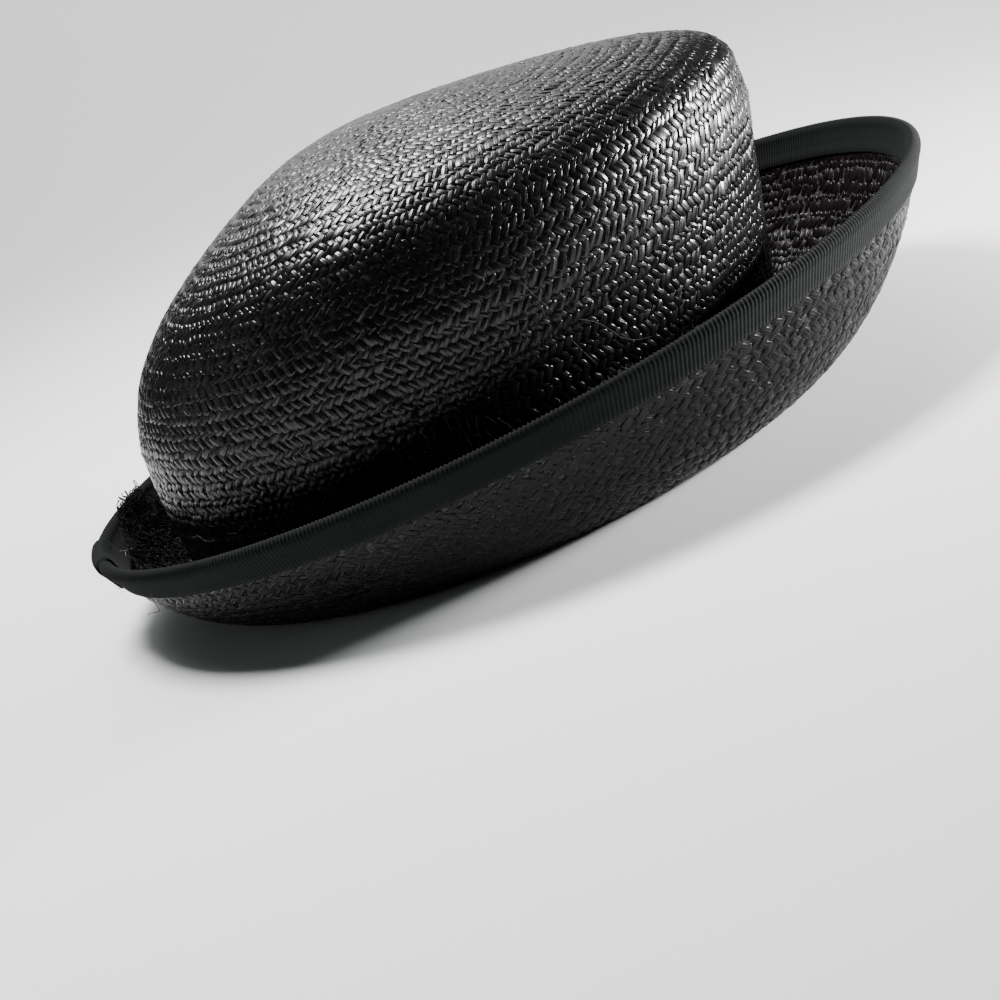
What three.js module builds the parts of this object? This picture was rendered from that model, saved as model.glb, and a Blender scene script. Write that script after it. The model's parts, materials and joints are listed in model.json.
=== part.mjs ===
// Straw cloche hat: a domed crown, a brim curled up all round, and a ribbon bound over its edge.
// Millimetres, +X to the front of the hat, +Y to the wearer's left, +Z up, resting plane at z = 0.
import * as THREE from 'three';

// Driving sizes
const HEAD_LENGTH = 200;          // base of the crown, outside, front to back
const HEAD_WIDTH = 168;           // base of the crown, outside, side to side
const HEAD_SHIFT = -11.7;         // middle of the crown's base, from the middle of the brim
const CROWN_HEIGHT = 121;         // top of the crown above the flat of the brim
const STRAW = 1.6;                // thickness of the woven wall
const LAND = 4;                   // width of the flat ring under the foot of the crown
const RIM_LENGTH = 289;           // straw edge of the brim, front to back
const RIM_WIDTH = 225;            // straw edge of the brim, side to side
const RIM_BACK = 28.5;            // height of the straw edge at the back
const RIM_SIDE = 41.5;            // height of the straw edge at the sides
const RIM_FRONT = 51.5;           // height of the straw edge at the front
const RIBBON_FACE = 10.2;         // reach of the bound ribbon down the inner face
const RIBBON_UNDER = 8.8;         // and down the outer face
const RIBBON = 0.5;               // thickness of the ribbon
const GAP = 0.3;                  // clearance between neighbouring pieces
const SEGMENTS = 64;              // facets round the hat

// Sizes that follow from them
const HEAD_A = HEAD_LENGTH / 2;
const HEAD_B = HEAD_WIDTH / 2;
const RIM_A = RIM_LENGTH / 2;
const RIM_B = RIM_WIDTH / 2;
const CROWN_FOOT = STRAW + GAP;
const BOW_OUT = 1.13;             // how soon the brim's section reaches outward
const BOW_UP = 1.76;              // how late the brim's section turns upward

// Rings of the crown as shares: lift of CROWN_HEIGHT, reaches of HEAD_A, half width of HEAD_B
const CROWN_RINGS = [
  { lift: 0.000, front: 0.945, back: 1.040, side: 1.000 },
  { lift: 0.110, front: 0.978, back: 1.075, side: 1.012 },
  { lift: 0.255, front: 1.017, back: 1.083, side: 1.030 },
  { lift: 0.415, front: 1.060, back: 1.073, side: 1.046 },
  { lift: 0.575, front: 1.103, back: 1.003, side: 1.046 },
  { lift: 0.700, front: 1.137, back: 0.875, side: 1.020 },
  { lift: 0.790, front: 1.135, back: 0.730, side: 0.965 },
  { lift: 0.850, front: 1.090, back: 0.610, side: 0.885 },
  { lift: 0.898, front: 0.965, back: 0.500, side: 0.775 },
  { lift: 0.940, front: 0.745, back: 0.390, side: 0.620 },
  { lift: 0.973, front: 0.450, back: 0.265, side: 0.430 },
  { lift: 0.992, front: 0.210, back: 0.135, side: 0.215 },
];

// Section of the brim, from the head line (0) to the edge (1)
const BRIM_ROWS = [0, 0.1, 0.22, 0.36, 0.5, 0.63, 0.75, 0.84, 0.92, 1];

// Folded ribbon: rows from the free hem on one face, over the fold, to the hem on the other.
// out is the distance off the middle of the straw, along is the reach down the face.
const RIDGE = 1.7;
const CLEAR = STRAW / 2 + GAP;
const FOLD_ROWS = [
  { out: CLEAR + RIBBON, along: RIBBON_FACE },
  { out: CLEAR + RIBBON, along: RIBBON_FACE * 0.62 },
  { out: CLEAR + RIBBON, along: RIBBON_FACE * 0.30 },
  { out: RIDGE * 1.08, along: 0.9 },
  { out: RIDGE * 0.92, along: -0.6 },
  { out: RIDGE * 0.50, along: -1.5 },
];

// Loose end of the ribbon, lapped over the binding at the back: angles from the front, in degrees
const LAP_TURNS = [182, 185, 188, 191, 194];

// Scrap of net left in the channel at the back: turn in degrees from the front towards the left,
// top and foot as shares of the brim's section, puff off the straw as a share of SCRAP_PUFF
const SCRAP = 0.8;                // thickness of the crumpled net
const SCRAP_PUFF = 3;             // height of its largest crumple
const SCRAP_STATIONS = [
  { turn: 158, top: 0.86, foot: 0.62, puff: 0.15 },
  { turn: 164, top: 1.05, foot: 0.50, puff: 0.55 },
  { turn: 169, top: 1.09, foot: 0.42, puff: 0.20 },
  { turn: 174, top: 0.96, foot: 0.36, puff: 0.75 },
  { turn: 180, top: 0.84, foot: 0.30, puff: 0.25 },
  { turn: 186, top: 0.74, foot: 0.26, puff: 0.80 },
  { turn: 193, top: 0.62, foot: 0.24, puff: 0.30 },
  { turn: 201, top: 0.54, foot: 0.22, puff: 0.70 },
  { turn: 209, top: 0.50, foot: 0.20, puff: 0.20 },
  { turn: 218, top: 0.46, foot: 0.20, puff: 0.45 },
  { turn: 227, top: 0.40, foot: 0.22, puff: 0.10 },
];
const SCRAP_ROWS = [0, 0.25, 0.5, 0.75, 1];

/** Height of the straw edge at an angle round the hat. */
function rimHeight(theta) {
  const middle = (RIM_FRONT + RIM_BACK) / 2;
  const swing = (RIM_FRONT - RIM_BACK) / 2;
  const dip = (middle - RIM_SIDE) / 2;
  return middle - dip + swing * Math.cos(theta) + dip * Math.cos(2 * theta);
}

/** Middle of the brim's straw at an angle round the hat and a share from head line to edge. */
function brimMiddle(theta, share) {
  const inner = new THREE.Vector3(
    HEAD_SHIFT + (HEAD_A + LAND) * Math.cos(theta),
    (HEAD_B + LAND) * Math.sin(theta),
    STRAW / 2,
  );
  const outer = new THREE.Vector3(RIM_A * Math.cos(theta), RIM_B * Math.sin(theta), rimHeight(theta));
  const reach = 1 - (1 - share) ** BOW_OUT;
  const point = inner.clone().lerp(outer, reach);
  point.z = inner.z + (outer.z - inner.z) * share ** BOW_UP;
  return point;
}

/** Unit normal of the brim there, pointing up and in, towards the crown. */
function brimNormal(theta, share) {
  const step = 0.01;
  const low = Math.max(0, share - step);
  const high = Math.min(1, share + step);
  const around = brimMiddle(theta + step, share).sub(brimMiddle(theta - step, share));
  const outward = brimMiddle(theta, high).sub(brimMiddle(theta, low));
  return outward.cross(around).normalize();
}

/** Point off the straw's middle by a distance, at a share of the brim's section. */
function brimPoint(theta, share, off) {
  return brimMiddle(theta, share).addScaledVector(brimNormal(theta, share), off);
}

/** Share of the section that lies a given length in from the edge. */
function shareFromEdge(theta, length) {
  const steps = 80;
  let left = length;
  let previous = brimMiddle(theta, 1);
  for (let k = 1; k <= steps; k += 1) {
    const share = 1 - k / steps;
    const here = brimMiddle(theta, share);
    const piece = here.distanceTo(previous);
    if (piece >= left) {
      return share + (1 - left / piece) / steps;
    }
    left -= piece;
    previous = here;
  }
  return 0;
}

/** Point near the brim's edge, measured in from the edge and off the straw's middle. */
function edgePoint(theta, along, off) {
  if (along >= 0) {
    return brimPoint(theta, shareFromEdge(theta, along), off);
  }
  const edge = brimMiddle(theta, 1);
  const outward = edge.clone().sub(brimMiddle(theta, 0.97)).normalize();
  return edge.addScaledVector(brimNormal(theta, 1), off).addScaledVector(outward, -along);
}

/** Point of one ring of the crown, drawn in by a wall thickness. */
function crownPoint(ring, theta, inset) {
  const c = Math.cos(theta);
  const reach = (c > 0 ? ring.front : ring.back) * HEAD_A;
  const drop = inset * ring.lift ** 3;
  const pull = inset * (1 - 0.75 * ring.lift ** 4);
  return new THREE.Vector3(
    HEAD_SHIFT + (reach - pull) * c,
    (ring.side * HEAD_B - pull) * Math.sin(theta),
    CROWN_FOOT + ring.lift * (CROWN_HEIGHT - CROWN_FOOT) - drop,
  );
}

/** Angles of the facets round the hat. */
function angles() {
  return Array.from({ length: SEGMENTS }, (_, k) => (2 * Math.PI * k) / SEGMENTS);
}

/** Mesh from points and triangles, turned outward where its volume comes out negative. */
function solid(name, points, index, colour, roughness) {
  let volume = 0;
  for (let k = 0; k < index.length; k += 3) {
    const [a, b, c] = [points[index[k]], points[index[k + 1]], points[index[k + 2]]];
    volume += a.dot(b.clone().cross(c)) / 6;
  }
  const faces = [];
  for (let k = 0; k < index.length; k += 3) {
    const tail = volume < 0 ? [index[k + 2], index[k + 1]] : [index[k + 1], index[k + 2]];
    faces.push(index[k], ...tail);
  }
  const geometry = new THREE.BufferGeometry();
  const flat = points.flatMap((point) => point.toArray());
  geometry.setAttribute('position', new THREE.Float32BufferAttribute(flat, 3));
  geometry.setIndex(faces);
  geometry.computeVertexNormals();
  const mesh = new THREE.Mesh(geometry, new THREE.MeshStandardMaterial({ color: colour, roughness }));
  mesh.name = name;
  return mesh;
}

/** Triangles between neighbouring loops of points, each loop closed on itself. */
function skinIndex(loops, width, closed) {
  const index = [];
  const steps = closed ? loops : loops - 1;
  for (let k = 0; k < steps; k += 1) {
    const next = ((k + 1) % loops) * width;
    for (let j = 0; j < width; j += 1) {
      const turn = (j + 1) % width;
      index.push(k * width + j, k * width + turn, next + turn);
      index.push(k * width + j, next + turn, next + j);
    }
  }
  return index;
}

/** Solid swept through loops of points; outline is the loop drawn flat, for the end faces. */
function sweep(name, loops, outline, closed, colour, roughness) {
  const width = loops[0].length;
  const index = skinIndex(loops.length, width, closed);
  if (!closed) {
    const caps = THREE.ShapeUtils.triangulateShape(outline, []);
    const last = (loops.length - 1) * width;
    const turned = THREE.ShapeUtils.isClockWise(outline);
    caps.forEach(([a, b, c]) => {
      const [p, q] = turned ? [b, c] : [c, b];
      index.push(a, p, q);
      index.push(last + a, last + q, last + p);
    });
  }
  return solid(name, loops.flat(), index, colour, roughness);
}

/** Crown: a hollow dome, open below, with the same wall all over. */
function crown() {
  const outer = CROWN_RINGS.map((ring) => angles().map((t) => crownPoint(ring, t, 0)));
  const inner = CROWN_RINGS.map((ring) => angles().map((t) => crownPoint(ring, t, STRAW)));
  const loops = [...outer.reverse(), ...inner];
  const index = skinIndex(loops.length, SEGMENTS, false);
  const top = loops.length * SEGMENTS;
  const last = top - SEGMENTS;
  for (let j = 0; j < SEGMENTS; j += 1) {
    const turn = (j + 1) % SEGMENTS;
    index.push(top, turn, j);
    index.push(top + 1, last + j, last + turn);
  }
  const points = loops.flat();
  points.push(new THREE.Vector3(HEAD_SHIFT, 0, CROWN_HEIGHT));
  points.push(new THREE.Vector3(HEAD_SHIFT, 0, CROWN_HEIGHT - STRAW));
  return solid('crown', points, index, 0x17171a, 0.3);
}

/** Point of the flat ring that the crown's foot stands on. */
function landPoint(theta, wide, height) {
  const c = Math.cos(theta);
  const foot = CROWN_RINGS[0];
  const inner = new THREE.Vector3(
    HEAD_SHIFT + (HEAD_A * (c > 0 ? foot.front : foot.back) - STRAW) * c,
    (HEAD_B * foot.side - STRAW) * Math.sin(theta),
    height,
  );
  const outer = brimMiddle(theta, 0).setZ(height);
  return wide ? outer : inner;
}

/** Brim: flat ring under the crown's foot, then a bowl curled up to the edge. */
function brim() {
  const rows = BRIM_ROWS.slice(1);
  const loops = angles().map((t) => [
    landPoint(t, false, 0),
    landPoint(t, true, 0),
    ...rows.map((share) => brimPoint(t, share, -STRAW / 2)),
    ...rows.slice().reverse().map((share) => brimPoint(t, share, STRAW / 2)),
    landPoint(t, true, STRAW),
    landPoint(t, false, STRAW),
  ]);
  return sweep('brim', loops, null, true, 0x1b1b1e, 0.35);
}

/** Rows of a section mirrored to the outer face, in the opposite order and at its own reach. */
function mirrored(rows) {
  const share = (along) => (along > 0 ? RIBBON_UNDER / RIBBON_FACE : 1);
  return rows.map((row) => ({ out: -row.out, along: row.along * share(row.along) })).reverse();
}

/** Rows round the outside of the fold, from hem to hem, lifted off the ribbon by a distance. */
function foldSkin(lift) {
  const face = FOLD_ROWS.map((row) => ({
    out: row.out + lift,
    along: row.along - (row.along < 0 ? lift : 0),
  }));
  return [...face, { out: 0, along: -(RIDGE * 1.08 + lift) }, ...mirrored(face)];
}

/** Rows inside the fold, round the straw edge, from hem to hem. */
function foldLining() {
  const face = FOLD_ROWS.slice(0, 3).map((row) => ({ out: row.out - RIBBON, along: row.along }));
  face.push({ out: STRAW / 2 + GAP * 0.8, along: -GAP * 1.4 });
  return [...face, ...mirrored(face)];
}

/** Ribbon swept along some turns, between two skins of its folded section. */
function foldedRibbon(name, turns, skin, lining, closed, colour) {
  const loop = [...skin, ...lining.slice().reverse()];
  const loops = turns.map((t) => loop.map((row) => edgePoint(t, row.along, row.out)));
  const outline = loop.map((row) => new THREE.Vector2(row.out, row.along));
  return sweep(name, loops, outline, closed, colour, 0.85);
}

/** Scrap of net, crumpled along the channel between crown and brim. */
function netScrap() {
  const loopAt = (station) => {
    const theta = THREE.MathUtils.degToRad(station.turn);
    const rest = RIDGE * 1.08 + GAP + SCRAP / 2;
    const place = (row, off) => {
      const share = station.foot + (station.top - station.foot) * row;
      const beyond = (1 - share) * RIM_BACK;
      return share < 1 ? brimPoint(theta, share, off) : edgePoint(theta, beyond, off);
    };
    const crumple = (row) => rest + station.puff * SCRAP_PUFF * (0.4 + 1.2 * row * (1 - row));
    return [
      ...SCRAP_ROWS.map((row) => place(row, crumple(row) + SCRAP / 2)),
      ...SCRAP_ROWS.slice().reverse().map((row) => place(row, crumple(row) - SCRAP / 2)),
    ];
  };
  const outline = [
    ...SCRAP_ROWS.map((row) => new THREE.Vector2(SCRAP, row * 10)),
    ...SCRAP_ROWS.slice().reverse().map((row) => new THREE.Vector2(0, row * 10)),
  ];
  return sweep('net_scrap', SCRAP_STATIONS.map(loopAt), outline, false, 0x0f0f10, 0.9);
}

const lapAngles = LAP_TURNS.map((turn) => THREE.MathUtils.degToRad(turn));
const hat = new THREE.Group();
hat.name = 'cloche_hat';
hat.add(
  crown(),
  brim(),
  foldedRibbon('edge_binding', angles(), foldSkin(0), foldLining(), true, 0x24262a),
  foldedRibbon('binding_lap', lapAngles, foldSkin(GAP + RIBBON), foldSkin(GAP), false, 0x1c1d20),
  netScrap(),
);

// The origin goes to the middle of the base
const box = new THREE.Box3().setFromObject(hat, true);
const middle = box.getCenter(new THREE.Vector3()).setZ(box.min.z);
hat.children.forEach((mesh) => mesh.geometry.translate(-middle.x, -middle.y, -middle.z));

export default hat;
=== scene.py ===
"""Black hand-woven straw hat: domed crown, brim curled up all round, ribbon bound over its edge.

The hat stands on a pale floor, +X to its front, +Y to the wearer's left and +Z up. Shapes are
worked out in millimetres and become metres when a mesh is made.
"""
from __future__ import annotations

import json
import logging
import math
from dataclasses import dataclass, field, replace
from enum import Enum
from functools import cached_property
from typing import Callable, Sequence

import bpy
import numpy as np
from mathutils import Matrix, Vector

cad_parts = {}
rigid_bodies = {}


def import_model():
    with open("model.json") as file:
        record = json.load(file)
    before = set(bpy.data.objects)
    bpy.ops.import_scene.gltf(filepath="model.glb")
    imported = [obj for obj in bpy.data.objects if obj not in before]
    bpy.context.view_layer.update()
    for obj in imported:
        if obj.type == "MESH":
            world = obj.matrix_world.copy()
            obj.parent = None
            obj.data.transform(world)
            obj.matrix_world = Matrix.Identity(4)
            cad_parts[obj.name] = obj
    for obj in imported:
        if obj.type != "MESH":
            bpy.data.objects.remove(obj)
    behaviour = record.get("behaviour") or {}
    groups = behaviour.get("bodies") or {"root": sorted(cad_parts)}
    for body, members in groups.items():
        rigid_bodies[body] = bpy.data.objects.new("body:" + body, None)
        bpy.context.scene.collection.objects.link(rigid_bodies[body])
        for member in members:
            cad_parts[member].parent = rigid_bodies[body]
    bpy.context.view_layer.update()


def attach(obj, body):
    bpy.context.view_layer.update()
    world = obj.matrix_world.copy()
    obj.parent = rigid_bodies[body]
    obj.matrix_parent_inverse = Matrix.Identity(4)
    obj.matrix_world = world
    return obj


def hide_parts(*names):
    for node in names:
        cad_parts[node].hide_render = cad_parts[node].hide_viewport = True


Surface = Callable[[np.ndarray, np.ndarray, np.ndarray], np.ndarray]
Wire = tuple[list[np.ndarray], list[tuple[int, int]]]
Color = tuple[float, float, float]
LOG = logging.getLogger("hat")
MM = 0.001
BODY = "root"


class Face(Enum):
    """Which side of the brim's straw a layer lies on."""

    OUTSIDE = -1.0
    INSIDE = 1.0


# Shape of the hat


@dataclass(frozen=True)
class HatForm:
    """Named sizes of the hat in millimetres, and the surfaces that follow from them."""

    head_length: float = 200.0
    head_width: float = 168.0
    head_shift: float = -11.7
    crown_height: float = 121.0
    straw: float = 1.6
    land: float = 4.0
    rim_length: float = 289.0
    rim_width: float = 225.0
    rim_back: float = 28.5
    rim_side: float = 41.5
    rim_front: float = 51.5
    ribbon_face: float = 10.2
    ribbon_under: float = 8.8
    ribbon: float = 0.5
    gap: float = 0.3
    ridge: float = 1.7
    bow_out: float = 1.13
    bow_up: float = 1.76
    origin_shift: float = 0.477
    near_edge: float = 0.97
    # Lift, front reach, back reach and half width of each ring, as shares
    rings: tuple[tuple[float, float, float, float], ...] = (
        (0.000, 0.945, 1.040, 1.000),
        (0.110, 0.978, 1.075, 1.012),
        (0.255, 1.017, 1.083, 1.030),
        (0.415, 1.060, 1.073, 1.046),
        (0.575, 1.103, 1.003, 1.046),
        (0.700, 1.137, 0.875, 1.020),
        (0.790, 1.135, 0.730, 0.965),
        (0.850, 1.090, 0.610, 0.885),
        (0.898, 0.965, 0.500, 0.775),
        (0.940, 0.745, 0.390, 0.620),
        (0.973, 0.450, 0.265, 0.430),
        (0.992, 0.210, 0.135, 0.215),
        (1.000, 0.000, 0.000, 0.000),
    )

    @property
    def foot(self) -> float:
        """Height of the crown's foot above the floor."""
        return self.straw + self.gap

    def rim_height(self, theta: np.ndarray) -> np.ndarray:
        """Height of the straw edge round the hat.

        Args:
            theta: Angles from the front, in radians.

        Returns:
            Heights in millimetres.
        """
        middle = (self.rim_front + self.rim_back) / 2
        swing = (self.rim_front - self.rim_back) / 2
        dip = (middle - self.rim_side) / 2
        return middle - dip + swing * np.cos(theta) + dip * np.cos(2 * theta)

    def brim_middle(self, theta: np.ndarray, share: np.ndarray) -> np.ndarray:
        """Middle of the brim's straw.

        Args:
            theta: Angles round the hat.
            share: Shares of the section, 0 at the crown's foot and 1 at the edge.

        Returns:
            Points, with the coordinates in the last axis.
        """
        theta, share = np.broadcast_arrays(np.asarray(theta, float), np.asarray(share, float))
        inner_x = self.head_shift + (self.head_length / 2 + self.land) * np.cos(theta)
        inner_y = (self.head_width / 2 + self.land) * np.sin(theta)
        outer_x = self.rim_length / 2 * np.cos(theta)
        outer_y = self.rim_width / 2 * np.sin(theta)
        inside = np.clip(share, 0.0, 1.0)
        reach = 1 - (1 - inside) ** self.bow_out
        rise = inside ** self.bow_up
        z = self.straw / 2 + (self.rim_height(theta) - self.straw / 2) * rise
        x = inner_x + (outer_x - inner_x) * reach
        y = inner_y + (outer_y - inner_y) * reach
        return np.stack([x + self.origin_shift, y, z], axis=-1)

    def brim_point(self, theta: np.ndarray, share: np.ndarray, off: np.ndarray) -> np.ndarray:
        """Point off the middle of the brim's straw, positive towards the crown.

        Args:
            theta: Angles round the hat.
            share: Shares of the section.
            off: Distances along the normal.

        Returns:
            Points, with the coordinates in the last axis.
        """
        step = 0.01
        low = np.clip(np.asarray(share, float) - step, 0, 1)
        high = np.clip(np.asarray(share, float) + step, 0, 1)
        theta = np.asarray(theta, float)
        around = self.brim_middle(theta + step, share) - self.brim_middle(theta - step, share)
        outward = self.brim_middle(theta, high) - self.brim_middle(theta, low)
        normal = unit(np.cross(outward, around))
        return self.brim_middle(theta, share) + normal * np.asarray(off, float)[..., None]

    def edge_shares(self, theta: np.ndarray, lengths: np.ndarray) -> np.ndarray:
        """Shares of the section that lie given lengths in from the edge.

        Args:
            theta: Angles round the hat, one for each row of the result.
            lengths: Lengths in millimetres, one for each column.

        Returns:
            A table of shares.
        """
        shares = np.linspace(1.0, 0.4, 61)
        points = self.brim_middle(theta[:, None], shares[None, :])
        run = np.linalg.norm(np.diff(points, axis=1), axis=2)
        reach = np.concatenate([np.zeros((len(theta), 1)), np.cumsum(run, axis=1)], axis=1)
        return np.array([np.interp(lengths, row, shares) for row in reach])

    def beyond_edge(self, theta: np.ndarray) -> np.ndarray:
        """Directions that lead out past the straw edge, one for each angle."""
        near = self.brim_middle(theta, np.full_like(theta, self.near_edge))
        return unit(self.brim_middle(theta, np.ones_like(theta)) - near)

    def edge_points(self, theta: np.ndarray, along: np.ndarray, off: np.ndarray) -> np.ndarray:
        """Points near the brim's edge, measured in from the edge and off the straw.

        Args:
            theta: Angles round the hat, one for each row.
            along: Lengths in from the edge, negative beyond it, one for each column.
            off: Distances off the straw's middle, one for each column or a full table.

        Returns:
            A table of points.
        """
        along = np.asarray(along, float)
        shares = self.edge_shares(theta, np.maximum(along, 0.0))
        off = np.broadcast_to(np.asarray(off, float), shares.shape)
        points = self.brim_point(theta[:, None], shares, off)
        return points + self.beyond_edge(theta)[:, None, :] * np.maximum(-along, 0.0)[None, :, None]

    @cached_property
    def ring_table(self) -> tuple[np.ndarray, np.ndarray, np.ndarray]:
        """Knots, values and slopes of the curves that join the crown's rings."""
        table = np.array(self.rings)
        mean = np.stack([table[:, 0] * self.crown_height,
                         (table[:, 1] + table[:, 2]) * self.head_length / 4], axis=1)
        knots = np.concatenate([[0.0], np.cumsum(np.linalg.norm(np.diff(mean, axis=0), axis=1))])
        knots = knots / knots[-1]
        slopes = soft_slopes(knots, table)
        slopes[-1, 0] = 0.0
        return knots, table, slopes

    def crown_skin(self, theta: np.ndarray, climb: np.ndarray) -> np.ndarray:
        """Outer skin of the crown.

        Args:
            theta: Angles round the hat.
            climb: Shares of the way from the foot (0) to the top (1).

        Returns:
            Points, with the coordinates in the last axis.
        """
        theta, climb = np.broadcast_arrays(np.asarray(theta, float), np.asarray(climb, float))
        values = hermite(*self.ring_table, np.clip(climb, 0.0, 1.0))
        c = np.cos(theta)
        reach = np.where(c > 0, values[..., 1], values[..., 2]) * self.head_length / 2
        x = self.head_shift + reach * c + self.origin_shift
        y = values[..., 3] * self.head_width / 2 * np.sin(theta)
        z = self.foot + values[..., 0] * (self.crown_height - self.foot)
        return np.stack([x, y, z], axis=-1)

    def crown_point(self, theta: np.ndarray, climb: np.ndarray, off: np.ndarray) -> np.ndarray:
        """Point off the crown's outer skin, positive outward.

        Args:
            theta: Angles round the hat.
            climb: Shares of the way up.
            off: Distances along the normal.

        Returns:
            Points, with the coordinates in the last axis.
        """
        step = 0.004
        climb = np.clip(np.asarray(climb, float), 0.0, 1.0 - 2 * step)
        theta = np.asarray(theta, float)
        around = self.crown_skin(theta + step, climb) - self.crown_skin(theta - step, climb)
        low = np.clip(climb - step, 0, 1)
        upward = self.crown_skin(theta, climb + step) - self.crown_skin(theta, low)
        normal = unit(np.cross(around, upward))
        return self.crown_skin(theta, climb) + normal * np.asarray(off, float)[..., None]


def unit(vectors: np.ndarray) -> np.ndarray:
    """Vectors of length one, along the last axis."""
    return vectors / np.maximum(np.linalg.norm(vectors, axis=-1, keepdims=True), 1e-9)


def soft_slopes(knots: np.ndarray, values: np.ndarray) -> np.ndarray:
    """Slopes for a curve that passes each value without overshooting.

    Args:
        knots: Rising positions.
        values: A row of values for each knot.

    Returns:
        A row of slopes for each knot.
    """
    run = np.diff(knots)[:, None]
    secant = np.diff(values, axis=0) / run
    slopes = np.zeros_like(values)
    slopes[0] = secant[0]
    slopes[-1] = secant[-1]
    before, after = secant[:-1], secant[1:]
    w1 = 2 * run[1:] + run[:-1]
    w2 = run[1:] + 2 * run[:-1]
    same = before * after > 0
    safe_before = np.where(same, before, 1.0)
    safe_after = np.where(same, after, 1.0)
    slopes[1:-1] = np.where(same, (w1 + w2) / (w1 / safe_before + w2 / safe_after), 0.0)
    return slopes


def hermite(knots: np.ndarray, values: np.ndarray, slopes: np.ndarray, at: np.ndarray) -> np.ndarray:
    """Cubic curve through the knots.

    Args:
        knots: Rising positions.
        values: A row of values for each knot.
        slopes: A row of slopes for each knot.
        at: Positions to read the curve at.

    Returns:
        A row of values for each position.
    """
    k = np.clip(np.searchsorted(knots, at, side="right") - 1, 0, len(knots) - 2)
    run = knots[k + 1] - knots[k]
    t = ((at - knots[k]) / run)[..., None]
    run = run[..., None]
    return ((2 * t**3 - 3 * t**2 + 1) * values[k] + (t**3 - 2 * t**2 + t) * run * slopes[k]
            + (3 * t**2 - 2 * t**3) * values[k + 1] + (t**3 - t**2) * run * slopes[k + 1])


# Meshes


def new_object(name: str, points: np.ndarray, faces: Sequence[Sequence[int]],
               smooth: bool = True) -> bpy.types.Object:
    """Object with a mesh of its own, at the origin.

    Args:
        name: Name of the piece.
        points: Corners in millimetres.
        faces: Corner numbers of each face, anticlockwise seen from outside.
        smooth: Whether the faces are shaded as one surface.

    Returns:
        The linked object.
    """
    mesh = bpy.data.meshes.new(name)
    mesh.from_pydata((np.asarray(points, float) * MM).tolist(), [], [list(f) for f in faces])
    mesh.validate()
    mesh.polygons.foreach_set("use_smooth", [smooth] * len(mesh.polygons))
    mesh.update()
    piece = bpy.data.objects.new(name, mesh)
    bpy.context.scene.collection.objects.link(piece)
    return piece


def lattice_faces(loops: int, width: int, closed: bool) -> list[tuple[int, int, int, int]]:
    """Faces between neighbouring loops of points, each loop closed on itself.

    Args:
        loops: Number of loops.
        width: Points in a loop.
        closed: Whether the last loop joins the first.

    Returns:
        Four corner numbers for each face.
    """
    faces = []
    for k in range(loops if closed else loops - 1):
        n = ((k + 1) % loops) * width
        for j in range(width):
            t = (j + 1) % width
            faces.append((k * width + j, k * width + t, n + t, n + j))
    return faces


def outward(points: np.ndarray, faces: list[tuple[int, ...]]) -> list[tuple[int, ...]]:
    """The same faces, all turned over where the solid's volume comes out negative.

    Args:
        points: Corners.
        faces: Corner numbers of each face.

    Returns:
        Faces that point out of the solid.
    """
    volume = 0.0
    for face in faces:
        a = points[face[0]]
        for k in range(1, len(face) - 1):
            volume += float(np.dot(a, np.cross(points[face[k]], points[face[k + 1]])))
    return faces if volume > 0 else [tuple(reversed(face)) for face in faces]


def grid_layer(piece: bpy.types.Object, name: str, width: int, across: float, up: float) -> None:
    """Write a map that runs round the piece and along its section.

    Args:
        piece: Object whose corners lie in rows of the given width.
        name: Name of the map.
        width: Corners in a row.
        across: Map units from one corner to the next in a row.
        up: Map units from one row to the next.
    """
    layer = piece.data.uv_layers.new(name=name)
    for polygon in piece.data.polygons:
        corners = [piece.data.loops[k].vertex_index for k in polygon.loop_indices]
        columns = [c % width for c in corners]
        wraps = max(columns) - min(columns) > width / 2
        for k, corner in zip(polygon.loop_indices, corners):
            column = corner % width
            if wraps and column < width / 2:
                column += width
            layer.data[k].uv = (column * across, (corner // width) * up)


# Node helpers


def link(tree: bpy.types.NodeTree, source: bpy.types.NodeSocket, target: bpy.types.NodeSocket) -> None:
    """Join two sockets."""
    tree.links.new(source, target)


def preset(target: bpy.types.Node, values: dict[str | int, object]) -> None:
    """Set some inputs of a node, by name or by number."""
    for key, value in values.items():
        target.inputs[key].default_value = value


def node(tree: bpy.types.NodeTree, kind: str, values: dict[str | int, object] | None = None,
         **settings: object) -> bpy.types.Node:
    """New node with some of its settings and inputs.

    Args:
        tree: Tree that gets the node.
        kind: Type of the node.
        values: Inputs to set, by name or by number.
        settings: Properties to set first.

    Returns:
        The node.
    """
    made = tree.nodes.new(kind)
    for key, value in settings.items():
        setattr(made, key, value)
    preset(made, values or {})
    return made


def math_node(tree: bpy.types.NodeTree, operation: str,
              *operands: bpy.types.NodeSocket | float) -> bpy.types.NodeSocket:
    """Sum on sockets and numbers.

    Args:
        tree: Tree that gets the node.
        operation: What it works out.
        operands: Its inputs in order.

    Returns:
        The socket with the result.
    """
    made = node(tree, "ShaderNodeMath", operation=operation)
    for socket, operand in zip(made.inputs, operands):
        if isinstance(operand, bpy.types.NodeSocket):
            link(tree, operand, socket)
        else:
            socket.default_value = operand
    return made.outputs[0]


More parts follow.
